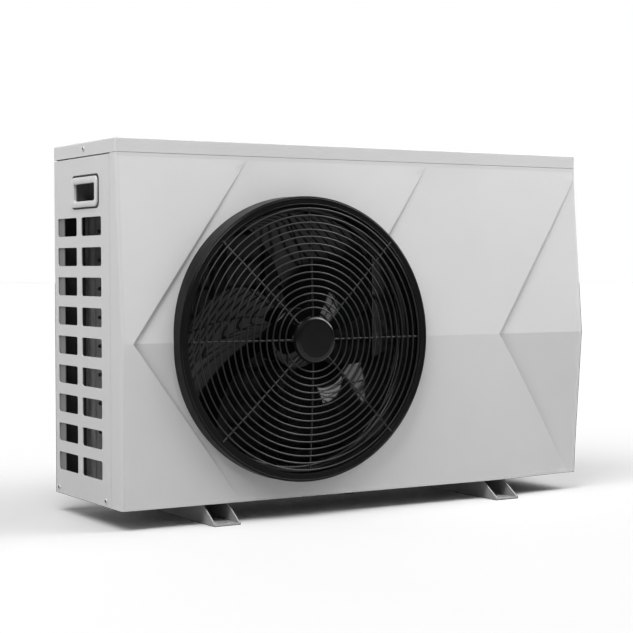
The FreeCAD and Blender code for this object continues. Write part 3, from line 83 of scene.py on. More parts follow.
class Finish:
    """A node material that starts from a Principled shader and object coordinates."""

    def __init__(self, name, colour, rough, metal=0.0, specular=0.5):
        self.material = bpy.data.materials.new(name)
        self.material.use_nodes = True
        self.material.diffuse_color = (*colour, 1.0)
        self.tree = self.material.node_tree
        self.shader = self.tree.nodes["Principled BSDF"]
        self.shader.inputs["Metallic"].default_value = metal
        self.shader.inputs["Specular IOR Level"].default_value = specular
        self.colour = self.fixed_colour(colour)
        self.base_rough = rough
        self.rough = None
        self.bump = None
        self.coordinates = self.node("ShaderNodeTexCoord").outputs["Object"]

    def node(self, kind, **settings):
        made = self.tree.nodes.new(kind)
        for name, value in settings.items():
            setattr(made, name, value)
        return made

    def link(self, source, target):
        self.tree.links.new(source, target)

    def fixed_colour(self, colour):
        made = self.node("ShaderNodeRGB")
        made.outputs[0].default_value = (*colour, 1.0)
        return made.outputs[0]

    def stretched(self, scale):
        made = self.node("ShaderNodeMapping")
        made.inputs["Scale"].default_value = scale
        self.link(self.coordinates, made.inputs["Vector"])
        return made.outputs[0]

    def noise(self, size, detail=3.0, roughness=0.5, stretch=None):
        # Noise whose features are about size metres across.
        made = self.node("ShaderNodeTexNoise")
        made.inputs["Scale"].default_value = 1.0 / size
        made.inputs["Detail"].default_value = detail
        made.inputs["Roughness"].default_value = roughness
        self.link(self.stretched(stretch) if stretch else self.coordinates, made.inputs["Vector"])
        return made.outputs["Fac"]

    def cells(self, size, output="Distance"):
        # Cells about size metres across.
        made = self.node("ShaderNodeTexVoronoi", feature="F1")
        made.inputs["Scale"].default_value = 1.0 / size
        self.link(self.coordinates, made.inputs["Vector"])
        return made.outputs[output]

    def spread(self, value, low, high, out_low=0.0, out_high=1.0):
        # Maps low to out_low and high to out_high, and holds both ends.
        made = self.node("ShaderNodeMapRange")
        made.inputs["From Min"].default_value = low
        made.inputs["From Max"].default_value = high
        made.inputs["To Min"].default_value = out_low
        made.inputs["To Max"].default_value = out_high
        self.link(value, made.inputs["Value"])
        return made.outputs["Result"]

    def maths(self, operation, first, second):
        made = self.node("ShaderNodeMath", operation=operation)
        for socket, value in zip(made.inputs, (first, second)):
            if isinstance(value, (int, float)):
                socket.default_value = value
            else:
                self.link(value, socket)
        return made.outputs[0]

    def tint(self, colour, factor):
        # Mixes the base colour towards another by factor.
        made = self.node("ShaderNodeMix", data_type="RGBA")
        self.link(factor, made.inputs["Factor"])
        self.link(self.colour, made.inputs[MIX_BASE])
        made.inputs[MIX_OTHER].default_value = (*colour, 1.0)
        self.colour = made.outputs[MIX_RESULT]

    def roughen(self, value):
        self.rough = self.maths("ADD", self.rough or self.base_rough, value)

    def raise_by(self, height, distance, strength):
        # Bumps the surface by height, distance metres at most, over the bumps made so far.
        made = self.node("ShaderNodeBump")
        made.inputs["Strength"].default_value = strength
        made.inputs["Distance"].default_value = distance
        self.link(height, made.inputs["Height"])
        if self.bump is not None:
            self.link(self.bump, made.inputs["Normal"])
        self.bump = made.outputs["Normal"]

    def done(self):
        self.link(self.colour, self.shader.inputs["Base Color"])
        if self.rough is None:
            self.shader.inputs["Roughness"].default_value = self.base_rough
        else:
            self.link(self.rough, self.shader.inputs["Roughness"])
        if self.bump is not None:
            self.link(self.bump, self.shader.inputs["Normal"])
        return self.material


# Most of a noise texture's values lie between these.
NOISE_LOW = 0.3
NOISE_HIGH = 0.7

# Sizes of surface features, in metres.
PAINT_DRIFT = 0.19
PAINT_SPECK = 0.0011
PAINT_GLOSS = 0.03
ORANGE_PEEL = 0.0022
PAINT_GRIT = 0.0006
FLOW_MARK = 0.06
MOULD_GLOSS = 0.015
SPANGLE = 0.009
ZINC_BLOOM = 0.04
ZINC_PIT = 0.0015
METAL_STAIN = 0.012
METAL_GLOSS = 0.004
DRAWING_MARK = 0.0008
COPPER_AREA = 0.012
SOLDER_PAD = 0.005
BOARD_RELIEF = 0.006

BLOOM_WHITE = (0.72, 0.73, 0.74)
STAIN_GREY = (0.2, 0.18, 0.16)
LACQUER_GREEN = (0.03, 0.2, 0.08)
COPPER_GREEN = (0.06, 0.32, 0.13)
SOLDER_GREY = (0.45, 0.44, 0.42)


def centred(finish, value, amount):
    # A noise value turned into one between -amount and +amount.
    return finish.spread(value, NOISE_LOW, NOISE_HIGH, -amount, amount)


def scaled(colour, factor, added=0.0):
    return tuple(min(1.0, c * factor + added) for c in colour)


def powder_coat(name, colour, rough=0.42):
    # Baked powder: a fine orange peel over a finer grit, and slight drifts of tone.
    finish = Finish(name, colour, rough, specular=0.45)
    drift = finish.noise(PAINT_DRIFT, detail=4.0)
    finish.tint(scaled(colour, 0.93), finish.spread(drift, 0.42, 0.7, out_high=0.5))
    speck = finish.noise(PAINT_SPECK, detail=1.0)
    finish.tint(scaled(colour, 1.04), finish.spread(speck, 0.5, 0.75, out_high=0.6))
    finish.roughen(centred(finish, finish.noise(PAINT_GLOSS), 0.04))
    finish.raise_by(finish.noise(ORANGE_PEEL, detail=2.0), 0.00012, strength=0.5)
    finish.raise_by(finish.noise(PAINT_GRIT, detail=1.0), 0.00004, strength=0.5)
    return finish.done()


def moulded(name, colour, rough, grain=0.0009, depth=0.00005, specular=0.5):
    # Moulded plastic: a fine spark texture with faint flow marks.
    finish = Finish(name, colour, rough, specular=specular)
    flow = finish.noise(FLOW_MARK, detail=3.0, roughness=0.55)
    finish.tint(scaled(colour, 0.88), finish.spread(flow, 0.4, 0.7, out_high=0.5))
    spark = finish.noise(grain * 1.3, detail=1.0)
    finish.tint(scaled(colour, 1.1, 0.002), finish.spread(spark, 0.5, 0.8, out_high=0.5))
    finish.roughen(centred(finish, finish.noise(MOULD_GLOSS, detail=4.0), rough * 0.15))
    finish.raise_by(finish.noise(grain, detail=2.0), depth, strength=0.6)
    return finish.done()


def galvanised(name, colour, rough=0.36):
    # Zinc spangle: crystals of slightly different tone and gloss, with white bloom.
    finish = Finish(name, colour, rough, metal=0.9)
    shade = finish.cells(SPANGLE, output="Color")
    split = finish.node("ShaderNodeSeparateColor")
    finish.link(shade, split.inputs[0])
    tone, gloss = split.outputs[0], split.outputs[1]
    finish.tint(scaled(colour, 0.72), finish.spread(tone, 0, 1, out_high=0.6))
    bloom = finish.noise(ZINC_BLOOM, detail=5.0)
    finish.tint(BLOOM_WHITE, finish.spread(bloom, 0.52, 0.75, out_high=0.35))
    finish.roughen(finish.spread(gloss, 0, 1, -0.08, 0.1))
    finish.raise_by(finish.noise(ZINC_PIT, detail=3.0), 0.00003, strength=0.5)
    return finish.done()


def worked_metal(name, colour, rough=0.28, metal=1.0, grain=(1.0, 1.0, 1.0), stain=STAIN_GREY):
    # Bare or plated metal with drawing marks and light staining. A grain below 1 on an axis
    # makes the marks longer along it.
    finish = Finish(name, colour, rough, metal=metal)
    blot = finish.noise(METAL_STAIN, detail=5.0, roughness=0.6)
    finish.tint(stain, finish.spread(blot, 0.5, 0.8, out_high=0.4))
    finish.roughen(centred(finish, finish.noise(METAL_GLOSS, detail=4.0), 0.08))
    marks = finish.noise(DRAWING_MARK, detail=2.0, stretch=grain)
    finish.raise_by(marks, 0.00004, strength=0.5)
    return finish.done()


def cellular(name, colour, rough, cell, depth):
    # Foam or rubber: small closed cells.
    finish = Finish(name, colour, rough, specular=0.3)
    wall = finish.spread(finish.cells(cell), 0.1, 0.8, out_high=0.5)
    finish.tint(scaled(colour, 1.8, 0.01), wall)
    finish.raise_by(finish.cells(cell), depth, strength=0.8)
    finish.raise_by(finish.noise(cell * 0.4), depth * 0.4, strength=0.5)
    return finish.done()


def circuit_board(name):
    # Green lacquer over a faint pattern of copper areas, with solder pads.
    finish = Finish(name, LACQUER_GREEN, 0.3)
    finish.tint(COPPER_GREEN, finish.spread(finish.cells(COPPER_AREA), 0.3, 0.34, out_high=0.8))
    finish.tint(SOLDER_GREY, finish.spread(finish.cells(SOLDER_PAD), 0.0, 0.12, 0.9, 0.0))
    finish.raise_by(finish.cells(BOARD_RELIEF), 0.0002, strength=0.6)
    return finish.done()


LIGHT_GREY = (0.565, 0.565, 0.565)
MATERIALS = {
    "cabinet_paint": powder_coat("cabinet_paint", LIGHT_GREY),
    "front_skin": powder_coat("front_skin", LIGHT_GREY, 0.46),
    "grip_grey": moulded("grip_grey", (0.56, 0.56, 0.56), 0.45),
    "black_gloss": moulded("black_gloss", (0.005, 0.005, 0.0055), 0.22, 0.0016, 0.00002, 0.35),
    "blade_gloss": moulded("blade_gloss", (0.003, 0.003, 0.0035), 0.06, 0.004, 0.00001, 0.28),
    "bezel_black": moulded("bezel_black", (0.006, 0.006, 0.0065), 0.35, 0.0012, 0.00003, 0.12),
    "black_satin": moulded("black_satin", (0.018, 0.018, 0.019), 0.4),
    "guard_wire": powder_coat("guard_wire", (0.01, 0.01, 0.0105), 0.34),
    "galvanised": galvanised("galvanised", (0.42, 0.43, 0.44)),
    "zinc_steel": worked_metal("zinc_steel", (0.55, 0.55, 0.53)),
    # Near black fins: painted shade for the inside of the coil.
    "fin_stock": worked_metal("fin_stock", (0.06, 0.065, 0.075), 0.4, 0.7, (1.0, 1.0, 0.1)),
    "copper": worked_metal("copper", (0.62, 0.30, 0.17), 0.26, 1.0, (0.2, 1.0, 1.0),
                           (0.12, 0.06, 0.04)),
    "black_paint": powder_coat("black_paint", (0.02, 0.02, 0.02), 0.4),
    "foam": cellular("foam", (0.02, 0.02, 0.02), 0.9, 0.0018, 0.0005),
    "rubber_black": cellular("rubber_black", (0.02, 0.02, 0.02), 0.7, 0.0009, 0.0001),
    "titanium": worked_metal("titanium", (0.4, 0.39, 0.38), 0.32),
    "brass_fitting": worked_metal("brass_fitting", (0.65, 0.46, 0.18), 0.3, 1.0),
    "board_green": circuit_board("board_green"),
    "raw_aluminium": worked_metal("raw_aluminium", (0.6, 0.6, 0.61), 0.3, 1.0, (1.0, 0.1, 0.1)),
    "terminal_white": moulded("terminal_white", (0.7, 0.7, 0.68), 0.45),
    "pvc_grey": moulded("pvc_grey", (0.035, 0.036, 0.04), 0.33),
    "rail_grey": powder_coat("rail_grey", (0.3, 0.3, 0.302), 0.38),
    "aged_copper": worked_metal("aged_copper", (0.07, 0.04, 0.03), 0.5, 0.6),
    # Darker than the post's own paint: painted shade inside the rear corner.
    "grey_painted_shade": powder_coat("grey_painted_shade", (0.17, 0.171, 0.173), 0.5),
    "pale_zinc": powder_coat("pale_zinc", (0.52, 0.52, 0.52), 0.5),
    # Near black zinc: painted shade on the plates inside the cabinet.
    "zinc_painted_shade": galvanised("zinc_painted_shade", (0.05, 0.052, 0.055), 0.55),
    # Dark grey, painted shade: it darkens the handles' pockets where shade falls under the frame.
    "cup_painted_shade": moulded("cup_painted_shade", (0.17, 0.17, 0.17), 0.55, specular=0.3),
    # Near black, painted shade: it darkens the screws' sockets and the ring round each handle's frame.
    "painted_shade_black": moulded("painted_shade_black", (0.006, 0.006, 0.006), 0.6),
}

# Nodes whose finish differs from their slot's: aged, painted, less glossy, or darkened as painted shade inside the
# cabinet.
NODE_FINISH = {
    "fan_bezel": "bezel_black",
    "rear_corner_post": "grey_painted_shade",
    "evaporator_headers": "aged_copper",
    "evaporator_tubes": "aged_copper",
    "evaporator_plate_left": "pale_zinc",
    "evaporator_plate_right": "zinc_painted_shade",
    "partition_panel": "zinc_painted_shade",
}


def dress_cad_nodes():
    # Every CAD node takes its own finish, or that of its material slot in the record.
    for row in frame["record"]["subparts"]:
        node = row["node"]
        slots = NODES[node].data.materials
        slots.clear()
        slots.append(MATERIALS[NODE_FINISH.get(node, row["material_slot"])])


# How much each of these nodes' sharp edges is broken, in mm.
EASED = {"top_cover": 0.7, "foot_left": 0.5, "foot_right": 0.5, "wiring_cover": 0.6}
EASED_ANGLE = 40.0           # edges sharper than this many degrees are broken


def ease_edges():
    for node, width in EASED.items():
        bevel = NODES[node].modifiers.new("eased_edges", "BEVEL")
        bevel.width = width * MM
        bevel.segments = 2
        bevel.limit_method = "ANGLE"
        bevel.angle_limit = math.radians(EASED_ANGLE)
        bevel.use_clamp_overlap = True
        bevel.harden_normals = True


# ---- mesh helpers -------------------------------------------------------------------------------
WELD_DIST = 0.002            # points of a piece closer than this, in mm, become one
THIN_FACE = 0.0005           # and edges shorter than this are taken out
NEARLY_PARALLEL = 0.1


def mesh_piece(name, points, faces, slot, body="cabinet", smooth_angle=30.0, materials=None,
               picks=None):
    # points are in mm in the cabinet's frame. picks gives each face's place in materials, which
    # is the slot's own material unless given.
    mesh = bpy.data.meshes.new(name)
    mesh.from_pydata([tuple(at(*point)) for point in points], [], faces)
    work = bmesh.new()
    work.from_mesh(mesh)
    if picks is not None:
        for face, pick in zip(work.faces, picks):
            face.material_index = pick
    bmesh.ops.remove_doubles(work, verts=work.verts, dist=WELD_DIST * MM)
    bmesh.ops.dissolve_degenerate(work, edges=work.edges, dist=THIN_FACE * MM)
    bmesh.ops.recalc_face_normals(work, faces=work.faces)
    work.to_mesh(mesh)
    work.free()
    piece = bpy.data.objects.new(name, mesh)
    bpy.context.scene.collection.objects.link(piece)
    for material in materials or [slot]:
        mesh.materials.append(MATERIALS[material])
    finish_piece(piece, body, smooth_angle)
    return piece


def smooth(piece, angle):
    # Shades smooth up to edges of angle degrees.
    piece.data.shade_smooth()
    piece.data.set_sharp_from_angle(angle=math.radians(angle))


def finish_piece(piece, body, smooth_angle):
    smooth(piece, smooth_angle)
    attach(piece, body)


def applied(piece):
    # Replaces a piece's mesh by what its modifiers make of it.
    evaluated = piece.evaluated_get(bpy.context.evaluated_depsgraph_get())
    mesh = bpy.data.meshes.new_from_object(evaluated)
    piece.modifiers.clear()
    piece.data = mesh


def bridge(faces, first, second, count):
    # Quads between two closed loops of count points that start at first and second.
    for k in range(count):
        m = (k + 1) % count
        faces.append((first + k, second + k, second + m, first + m))


def ring_solid(points, faces, centre_line, radius, sides, closed):
    # Adds a round wire along a list of points to points and faces.
    first = len(points)
    count = len(centre_line)
    line = [Vector(p) for p in centre_line]
    for i, p in enumerate(line):
        back = line[i - 1] if closed or i > 0 else line[i]
        ahead = line[(i + 1) % count] if closed or i < count - 1 else line[i]
        run = (ahead - back).normalized()
        across = run.cross(Vector((0, 1, 0)))
        if across.length < NEARLY_PARALLEL:
            across = run.cross(Vector((1, 0, 0)))
        across.normalize()
        lift = across.cross(run)
        for k in range(sides):
            turn = 2 * math.pi * k / sides
            offset_a = across * (radius * math.cos(turn))
            offset_b = lift * (radius * math.sin(turn))
            points.append(tuple(p + offset_a + offset_b))
    for i in range(count if closed else count - 1):
        bridge(faces, first + i * sides, first + ((i + 1) % count) * sides, sides)
    if not closed:
        faces.append(tuple(range(first, first + sides)))
        faces.append(tuple(range(first + (count - 1) * sides, first + count * sides))[::-1])


def grid_faces(first, rows, columns):
    faces = []
    for i in range(rows - 1):
        for j in range(columns - 1):
            a = first + i * columns + j
            b = a + columns
            faces.append((a, a + 1, b + 1, b))
    return faces


def lathe(points, faces, profile, centre, segments):
    # Turns a closed profile of (radius, y) about the y axis through centre.
    first = len(points)
    for i in range(segments):
        turn = 2 * math.pi * i / segments
        for radius, along in profile:
            offset = (radius * math.cos(turn), along, radius * math.sin(turn))
            points.append(tuple(c + o for c, o in zip(centre, offset)))
    count = len(profile)
    for i in range(segments):
        bridge(faces, first + i * count, first + ((i + 1) % segments) * count, count)


# ---- front panel --------------------------------------------------------------------------------
RIDGE_Z = 268.0
RIDGE_OUT = 24.0
STRIP_Z = 569.0              # above this the panel is a flat strip under the lid
PANEL_TOP = (skin_high.z - skin_low.z) / MM
SEAM_Y = (skin_high.y - ORIGIN.y) / MM       # where the panel meets the side panels
CORNER_R = 6.0
SKIN = 2.5                   # wall thickness
SKIN_ANGLE = 22.0            # the panel is shaded smooth up to this angle
LIP_Y = 2.0                  # the bottom lip's front
LEVEL_GAP = 0.01             # between the lip's top and the first level of the inner face
DIP = 11.0                   # a crease's step at the ridge
DIP_WIDTH = 210.0            # how far beyond a crease the panel lies back
DIP_SHARP = 9.0              # how fast the steep part of a dip dies away
DIP_STEEP_SHARE = 0.45
DIP_SHALLOW_SHARE = 0.55
DIP_SHALLOW_FADE = 2.5
STEP_FADE = 1.7              # how late a crease's step dies out towards its ends
ARRIS = 0.8                  # chamfer along the raised side of a crease
ARRIS_SHARE = 0.02           # and its largest share of the width between two creases
# The bottom edge: how far forward it is at an x, what it gains over a length from there, and
# where it turns back to the plane at the right.
BOTTOM_Y = -18.0
BOTTOM_X = -255.0
BOTTOM_GAIN = 2.0
BOTTOM_GAIN_RUN = 565.0
BOTTOM_TURN_X = 262.0
BOTTOM_TURN_RUN = 200.0
BOTTOM_END_Y = -2.6
# Each crease: x where it starts under the lid, at the ridge and at the bottom, and the step at
# the ridge on its upper and lower legs.
CREASES = (
    (-234.0, -454.0, -255.0, DIP, DIP),
    (130.0, -86.0, 60.0, DIP, 0.0),
    (478.0, 276.0, 452.0, DIP, DIP),
)
FLAT_END = HALF_W - CORNER_R
CREASE_MARGIN = 1.0          # a crease stays this far from the rounded corner
ARC_STEPS = 7                # points round a corner
STATIONS = 22                # points between two creases, crowded towards the left one
STATION_CROWDING = 1.6
FOLD = 0.7                   # half height of the folds at the ridge and under the strip
LOWER_LEVELS = 34
UPPER_LEVELS = 38
HOLE_GAP = 0.4               # between the panel and the bezel
HOLE_SIDES = 192
HOLE_TOOL_Y = -20.0          # middle of the cylinder that cuts the hole
HOLE_TOOL_DEPTH = 140.0


def ease(t):
    # 0 to 1 with a soft start and end.
    t = min(1.0, max(0.0, t))
    return t * t * (3 - 2 * t)


def crease_x(crease, z):
    top, apex, low = crease[:3]
    if z >= RIDGE_Z:
        x = apex + (top - apex) * min(1.0, (z - RIDGE_Z) / (STRIP_Z - RIDGE_Z))
    else:
        x = apex + (low - apex) * (RIDGE_Z - z) / RIDGE_Z
    return min(x, FLAT_END - CREASE_MARGIN)


def crease_step(crease, z):
    # The step is deepest at the ridge and dies out at both ends of the crease.
    if z >= RIDGE_Z:
        along = (STRIP_Z - z) / (STRIP_Z - RIDGE_Z)
        depth = crease[3]
    else:
        along = z / RIDGE_Z
        depth = crease[4]
    along = min(1.0, max(0.0, along))
    return depth * (1 - (1 - along) ** STEP_FADE)


def bottom_y(x):
    # Where the panel's bottom edge runs: forward at the left, and back to the plane at the right.
    forward = BOTTOM_Y - BOTTOM_GAIN * (x - BOTTOM_X) / BOTTOM_GAIN_RUN
    return forward + (BOTTOM_END_Y - forward) * ease((x - BOTTOM_TURN_X) / BOTTOM_TURN_RUN)


def base_y(x, z):
    # The panel without its creases.
    if z >= STRIP_Z:
        return 0.0
    if z >= RIDGE_Z:
        return -RIDGE_OUT * (STRIP_Z - z) / (STRIP_Z - RIDGE_Z)
    share = z / RIDGE_Z
    return -RIDGE_OUT * share + max(bottom_y(x), -RIDGE_OUT) * (1 - share)


def dip_y(crease, away, z):
    # How far the panel lies back at a distance beyond a crease: steep at first, then shallow.
    if not 0 <= away < DIP_WIDTH:
        return 0.0
    taper = 1 - away / DIP_WIDTH
    steep = DIP_STEEP_SHARE * math.exp(-away / DIP_SHARP) * taper
    shallow = DIP_SHALLOW_SHARE * taper ** DIP_SHALLOW_FADE
    return crease_step(crease, z) * (steep + shallow)


def skin_row(z, inset):
    # One level of the panel, from the left seam round the front to the right seam. The last
    # crease's dip runs into the right corner.
    side = HALF_W - inset
    radius = CORNER_R - inset
    last = CREASES[-1]
    left_y = base_y(-FLAT_END, z) + inset
    right_y = base_y(FLAT_END, z) + inset + dip_y(last, FLAT_END - crease_x(last, z), z)
    turns = [math.pi / 2 * i / (ARC_STEPS - 1) for i in range(ARC_STEPS)]
    row = [(-side, SEAM_Y), (-side, SEAM_Y * 0.5 + (left_y + radius) * 0.5)]
    for turn in turns:
        row.append((-FLAT_END - radius * math.cos(turn), left_y + radius - radius * math.sin(turn)))
    edges = [-FLAT_END] + [crease_x(crease, z) - inset for crease in CREASES] + [FLAT_END]
    for zone in range(len(CREASES) + 1):
        left = edges[zone]
        span = edges[zone + 1] - left
        steps = [span * (i / STATIONS) ** STATION_CROWDING for i in range(STATIONS)]
        if zone < len(CREASES):
            steps.append(span - min(ARRIS, span * ARRIS_SHARE))
        steps.append(span)
        for step in steps:
            y = base_y(left + step, z) + inset
            if zone:
                y += dip_y(CREASES[zone - 1], step, z)
            if zone < len(CREASES) and step == span:
                y += min(ARRIS, crease_step(CREASES[zone], z) * 0.5)
            row.append((left + step, y))
    for turn in turns:
        row.append((FLAT_END + radius * math.sin(turn), right_y + radius - radius * math.cos(turn)))
    row += [(side, SEAM_Y * 0.5 + (right_y + radius) * 0.5), (side, SEAM_Y)]
    return row


def levels():
    # Heights of the outer face's levels, closer together at the two folds.
    z_values = [0.0]
    for low, high, count in ((0.0, RIDGE_Z - FOLD, LOWER_LEVELS), (RIDGE_Z - FOLD, RIDGE_Z, 1),
                             (RIDGE_Z, RIDGE_Z + FOLD, 1),
                             (RIDGE_Z + FOLD, STRIP_Z - FOLD, UPPER_LEVELS),
                             (STRIP_Z - FOLD, STRIP_Z + FOLD, 2), (STRIP_Z + FOLD, PANEL_TOP, 1)):
        z_values += [low + (high - low) * (i + 1) / count for i in range(count)]
    return z_values


def front_panel():
    # An outer and an inner face, joined round their edges, with a round hole for the fan.
    outer_levels = levels()
    points = []
    for z in outer_levels:
        points += [(x, y, z) for x, y in skin_row(z, 0.0)]
    columns = len(skin_row(0.0, 0.0))
    faces = grid_faces(0, len(outer_levels), columns)
    first = len(points)
    inner_levels = [0.0, SKIN]
    for z in outer_levels:
        rise = (z / PANEL_TOP) * (PANEL_TOP - SKIN - LEVEL_GAP)
        inner_levels.append(SKIN + LEVEL_GAP + rise)
    for number, z in enumerate(inner_levels):
        row = skin_row(z, SKIN)
        if number < 2:
            row = [(x, max(y, LIP_Y)) for x, y in row]
        points += [(x, y, z) for x, y in row]
    faces += [face[::-1] for face in grid_faces(first, len(inner_levels), columns)]
    last = len(points) - columns
    top = (len(outer_levels) - 1) * columns
    for j in range(columns - 1):
        faces.append((first + j, first + j + 1, j + 1, j))
        faces.append((top + j, top + j + 1, last + j + 1, last + j))
    for edge in (0, columns - 1):
        rail_out = [i * columns + edge for i in range(len(outer_levels))]
        rail_in = [first + i * columns + edge for i in range(len(inner_levels))]
        faces += side_closing(rail_out, rail_in, points)
    piece = mesh_piece("front_skin", points, faces, "front_skin", smooth_angle=SKIN_ANGLE)
    bezel_low, bezel_high = near("fan_bezel")
    cut_round_hole(piece, (bezel_high.x - bezel_low.x) / 2 + HOLE_GAP)
    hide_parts("front_panel")


def side_closing(outer, inner, points):
    # Triangles between two upright rails of points with different levels.
    faces = []
    i = 0
    j = 0
    while i < len(outer) - 1 or j < len(inner) - 1:
        if i == len(outer) - 1:
            inner_next = True
        elif j == len(inner) - 1:
            inner_next = False
        else:
            inner_next = points[inner[j + 1]][2] <= points[outer[i + 1]][2]
        if inner_next:
            faces.append((outer[i], inner[j], inner[j + 1]))
            j += 1
        else:
            faces.append((outer[i], inner[j], outer[i + 1]))
            i += 1
    return faces


def cut_round_hole(piece, radius):
    bpy.ops.mesh.primitive_cylinder_add(vertices=HOLE_SIDES, radius=radius * MM,
                                        depth=HOLE_TOOL_DEPTH * MM,
                                        location=at(FAN_X, HOLE_TOOL_Y, FAN_Z),
                                        rotation=(math.pi / 2, 0, 0))
    tool = bpy.context.active_object
    hole = piece.modifiers.new("fan_hole", "BOOLEAN")
    hole.operation = "DIFFERENCE"
    hole.solver = "EXACT"
    hole.object = tool
    bpy.context.view_layer.update()
    applied(piece)
    bpy.data.objects.remove(tool)
    smooth(piece, SKIN_ANGLE)


# ---- wire guard ---------------------------------------------------------------------------------
RINGS = 15
SPOKES = 8
RING_WIRE = 1.3              # radius of a ring's wire
SPOKE_WIRE = 1.6
WIRE_SIDES = 10
RING_IN_R = 53.9
RING_OUT_R = 220.0
RING_POINTS = 96             # points of a ring, and one more for every 2 mm of radius
DOME = 12.0                  # how far the guard's middle stands out
WELD_SINK = 0.25             # the rings sink this far into the radial wires
SPOKE_IN_R = 34.0
SPOKE_PAST = (2.5, 12.0)     # how far even and odd radial wires pass the last ring
SPOKE_STEPS = 24
GUARD_BACK = near("wire_guard")[1].y - SPOKE_WIRE        # centre of the radial wires at the rim
GUARD_RIM = GUARD_BACK - SPOKE_WIRE - RING_WIRE + WELD_SINK


def guard_y(radius):
    return GUARD_RIM - DOME * (1 - (radius / RING_OUT_R) ** 2)


def wire_guard():
    points = []
    faces = []
    for i in range(RINGS):
        radius = RING_IN_R + i * (RING_OUT_R - RING_IN_R) / (RINGS - 1)
        count = RING_POINTS + int(radius / 2)
        turns = [2 * math.pi * k / count for k in range(count)]
        line = [(FAN_X + radius * math.cos(turn), guard_y(radius), FAN_Z + radius * math.sin(turn))
                for turn in turns]
        ring_solid(points, faces, line, RING_WIRE, WIRE_SIDES, True)
    for i in range(SPOKES):
        turn = 2 * math.pi * i / SPOKES
        end = RING_OUT_R + SPOKE_PAST[i % 2]
        line = []
        for k in range(SPOKE_STEPS + 1):
            radius = SPOKE_IN_R + (end - SPOKE_IN_R) * k / SPOKE_STEPS
            y = guard_y(min(radius, RING_OUT_R)) + SPOKE_WIRE + RING_WIRE - WELD_SINK
            line.append((FAN_X + radius * math.cos(turn), y, FAN_Z + radius * math.sin(turn)))
        ring_solid(points, faces, line, SPOKE_WIRE, WIRE_SIDES, False)
    piece = mesh_piece("guard_wires", points, faces, "guard_wire")
    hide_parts("wire_guard")


# ---- fan ----------------------------------------------------------------------------------------
BLADES = 3
HUB_R = 52.0
HUB_FRONT = -6.0
HUB_BACK = 46.0
HUB_WALL = 4.0
HUB_FACE = 9.0               # thickness of the hub's front
# The hub's rounded front edge: how far in from its side, and how far back from its front.
HUB_ROUNDING = ((7.0, 0.0), (2.2, 1.6), (0.0, 6.0))
HUB_SIDES = 96
SHAFT_HOLE_R = 6.05
BOSS_R = 15.0
BOSS_BACK = 42.0
HUB_RIBS = 12
RIB_R = 1.4
RIB_IN_R = 14.0
RIB_BACK = 12.0              # how far the ribs lie behind the hub's front
RIB_SIDES = 8
TIP_R = 213.0
BLADE_START = 47.0           # degrees from the right that the first blade's plan counts from
BLADE_SINK = 3.0             # how far a blade's root and a rib's end reach into the hub
BLADE_CORNER = 5.0           # degrees taken off both edges at the root and tip
BLADE_CAMBER = 0.16
BLADE_HALF = 1.9             # half thickness at the root
BLADE_THINNING = 1.1         # what it loses by the tip
EDGE_SHARE = 0.25            # share of it left at the edges
BLADE_ROWS = 22
BLADE_COLUMNS = 26
# share of the span, trailing edge angle, leading edge angle (degrees), front y, back y
BLADE_PLAN = (
    (0.0, -38.0, 42.0, -4.0, 42.0),
    (0.25, -37.0, 45.0, -8.0, 46.0),
    (0.5, -28.0, 50.0, -9.0, 48.0),
    (0.75, -14.0, 58.0, -8.0, 47.0),
    (1.0, 10.0, 70.0, -4.0, 42.0),
)


def plan_at(share):
    # Smooth interpolation of the blade's plan.
    table = np.array(BLADE_PLAN)
    fit = [np.polyfit(table[:, 0], table[:, k], 3) for k in range(1, 5)]
    return [float(np.polyval(f, share)) for f in fit]


def blade_solid(points, faces, start):
    # Two curved faces, joined round their edges.
    rows = BLADE_ROWS
    columns = BLADE_COLUMNS
    first = len(points)
    for side in (1, -1):
        for i in range(rows):
            share = i / (rows - 1)
            radius = HUB_R - BLADE_SINK + (TIP_R - HUB_R + BLADE_SINK) * share
            trail, lead, front, back = plan_at(share)
            corner = BLADE_CORNER * (1 - math.sin(math.pi * share) ** 0.5)
            width = lead - trail - 2 * corner
            thickness = BLADE_HALF - BLADE_THINNING * share
            for j in range(columns):
                t = j / (columns - 1)
                swell = math.sin(math.pi * t)
                angle = math.radians(start + trail + corner + width * t)
                y = front + (back - front) * (t - BLADE_CAMBER * swell)
                half = thickness * (EDGE_SHARE + (1 - EDGE_SHARE) * swell ** 0.5)
                points.append((FAN_X + radius * math.cos(angle), y + side * half,
                               FAN_Z + radius * math.sin(angle)))
    layer = rows * columns
    faces += grid_faces(first, rows, columns)
    faces += [face[::-1] for face in grid_faces(first + layer, rows, columns)]
    for i in range(rows - 1):
        for j in (0, columns - 1):
            a = first + i * columns + j
            b = a + columns
            faces.append((a, b, b + layer, a + layer))
    for j in range(columns - 1):
        for i in (0, rows - 1):
            a = first + i * columns + j
            faces.append((a, a + 1, a + 1 + layer, a + layer))


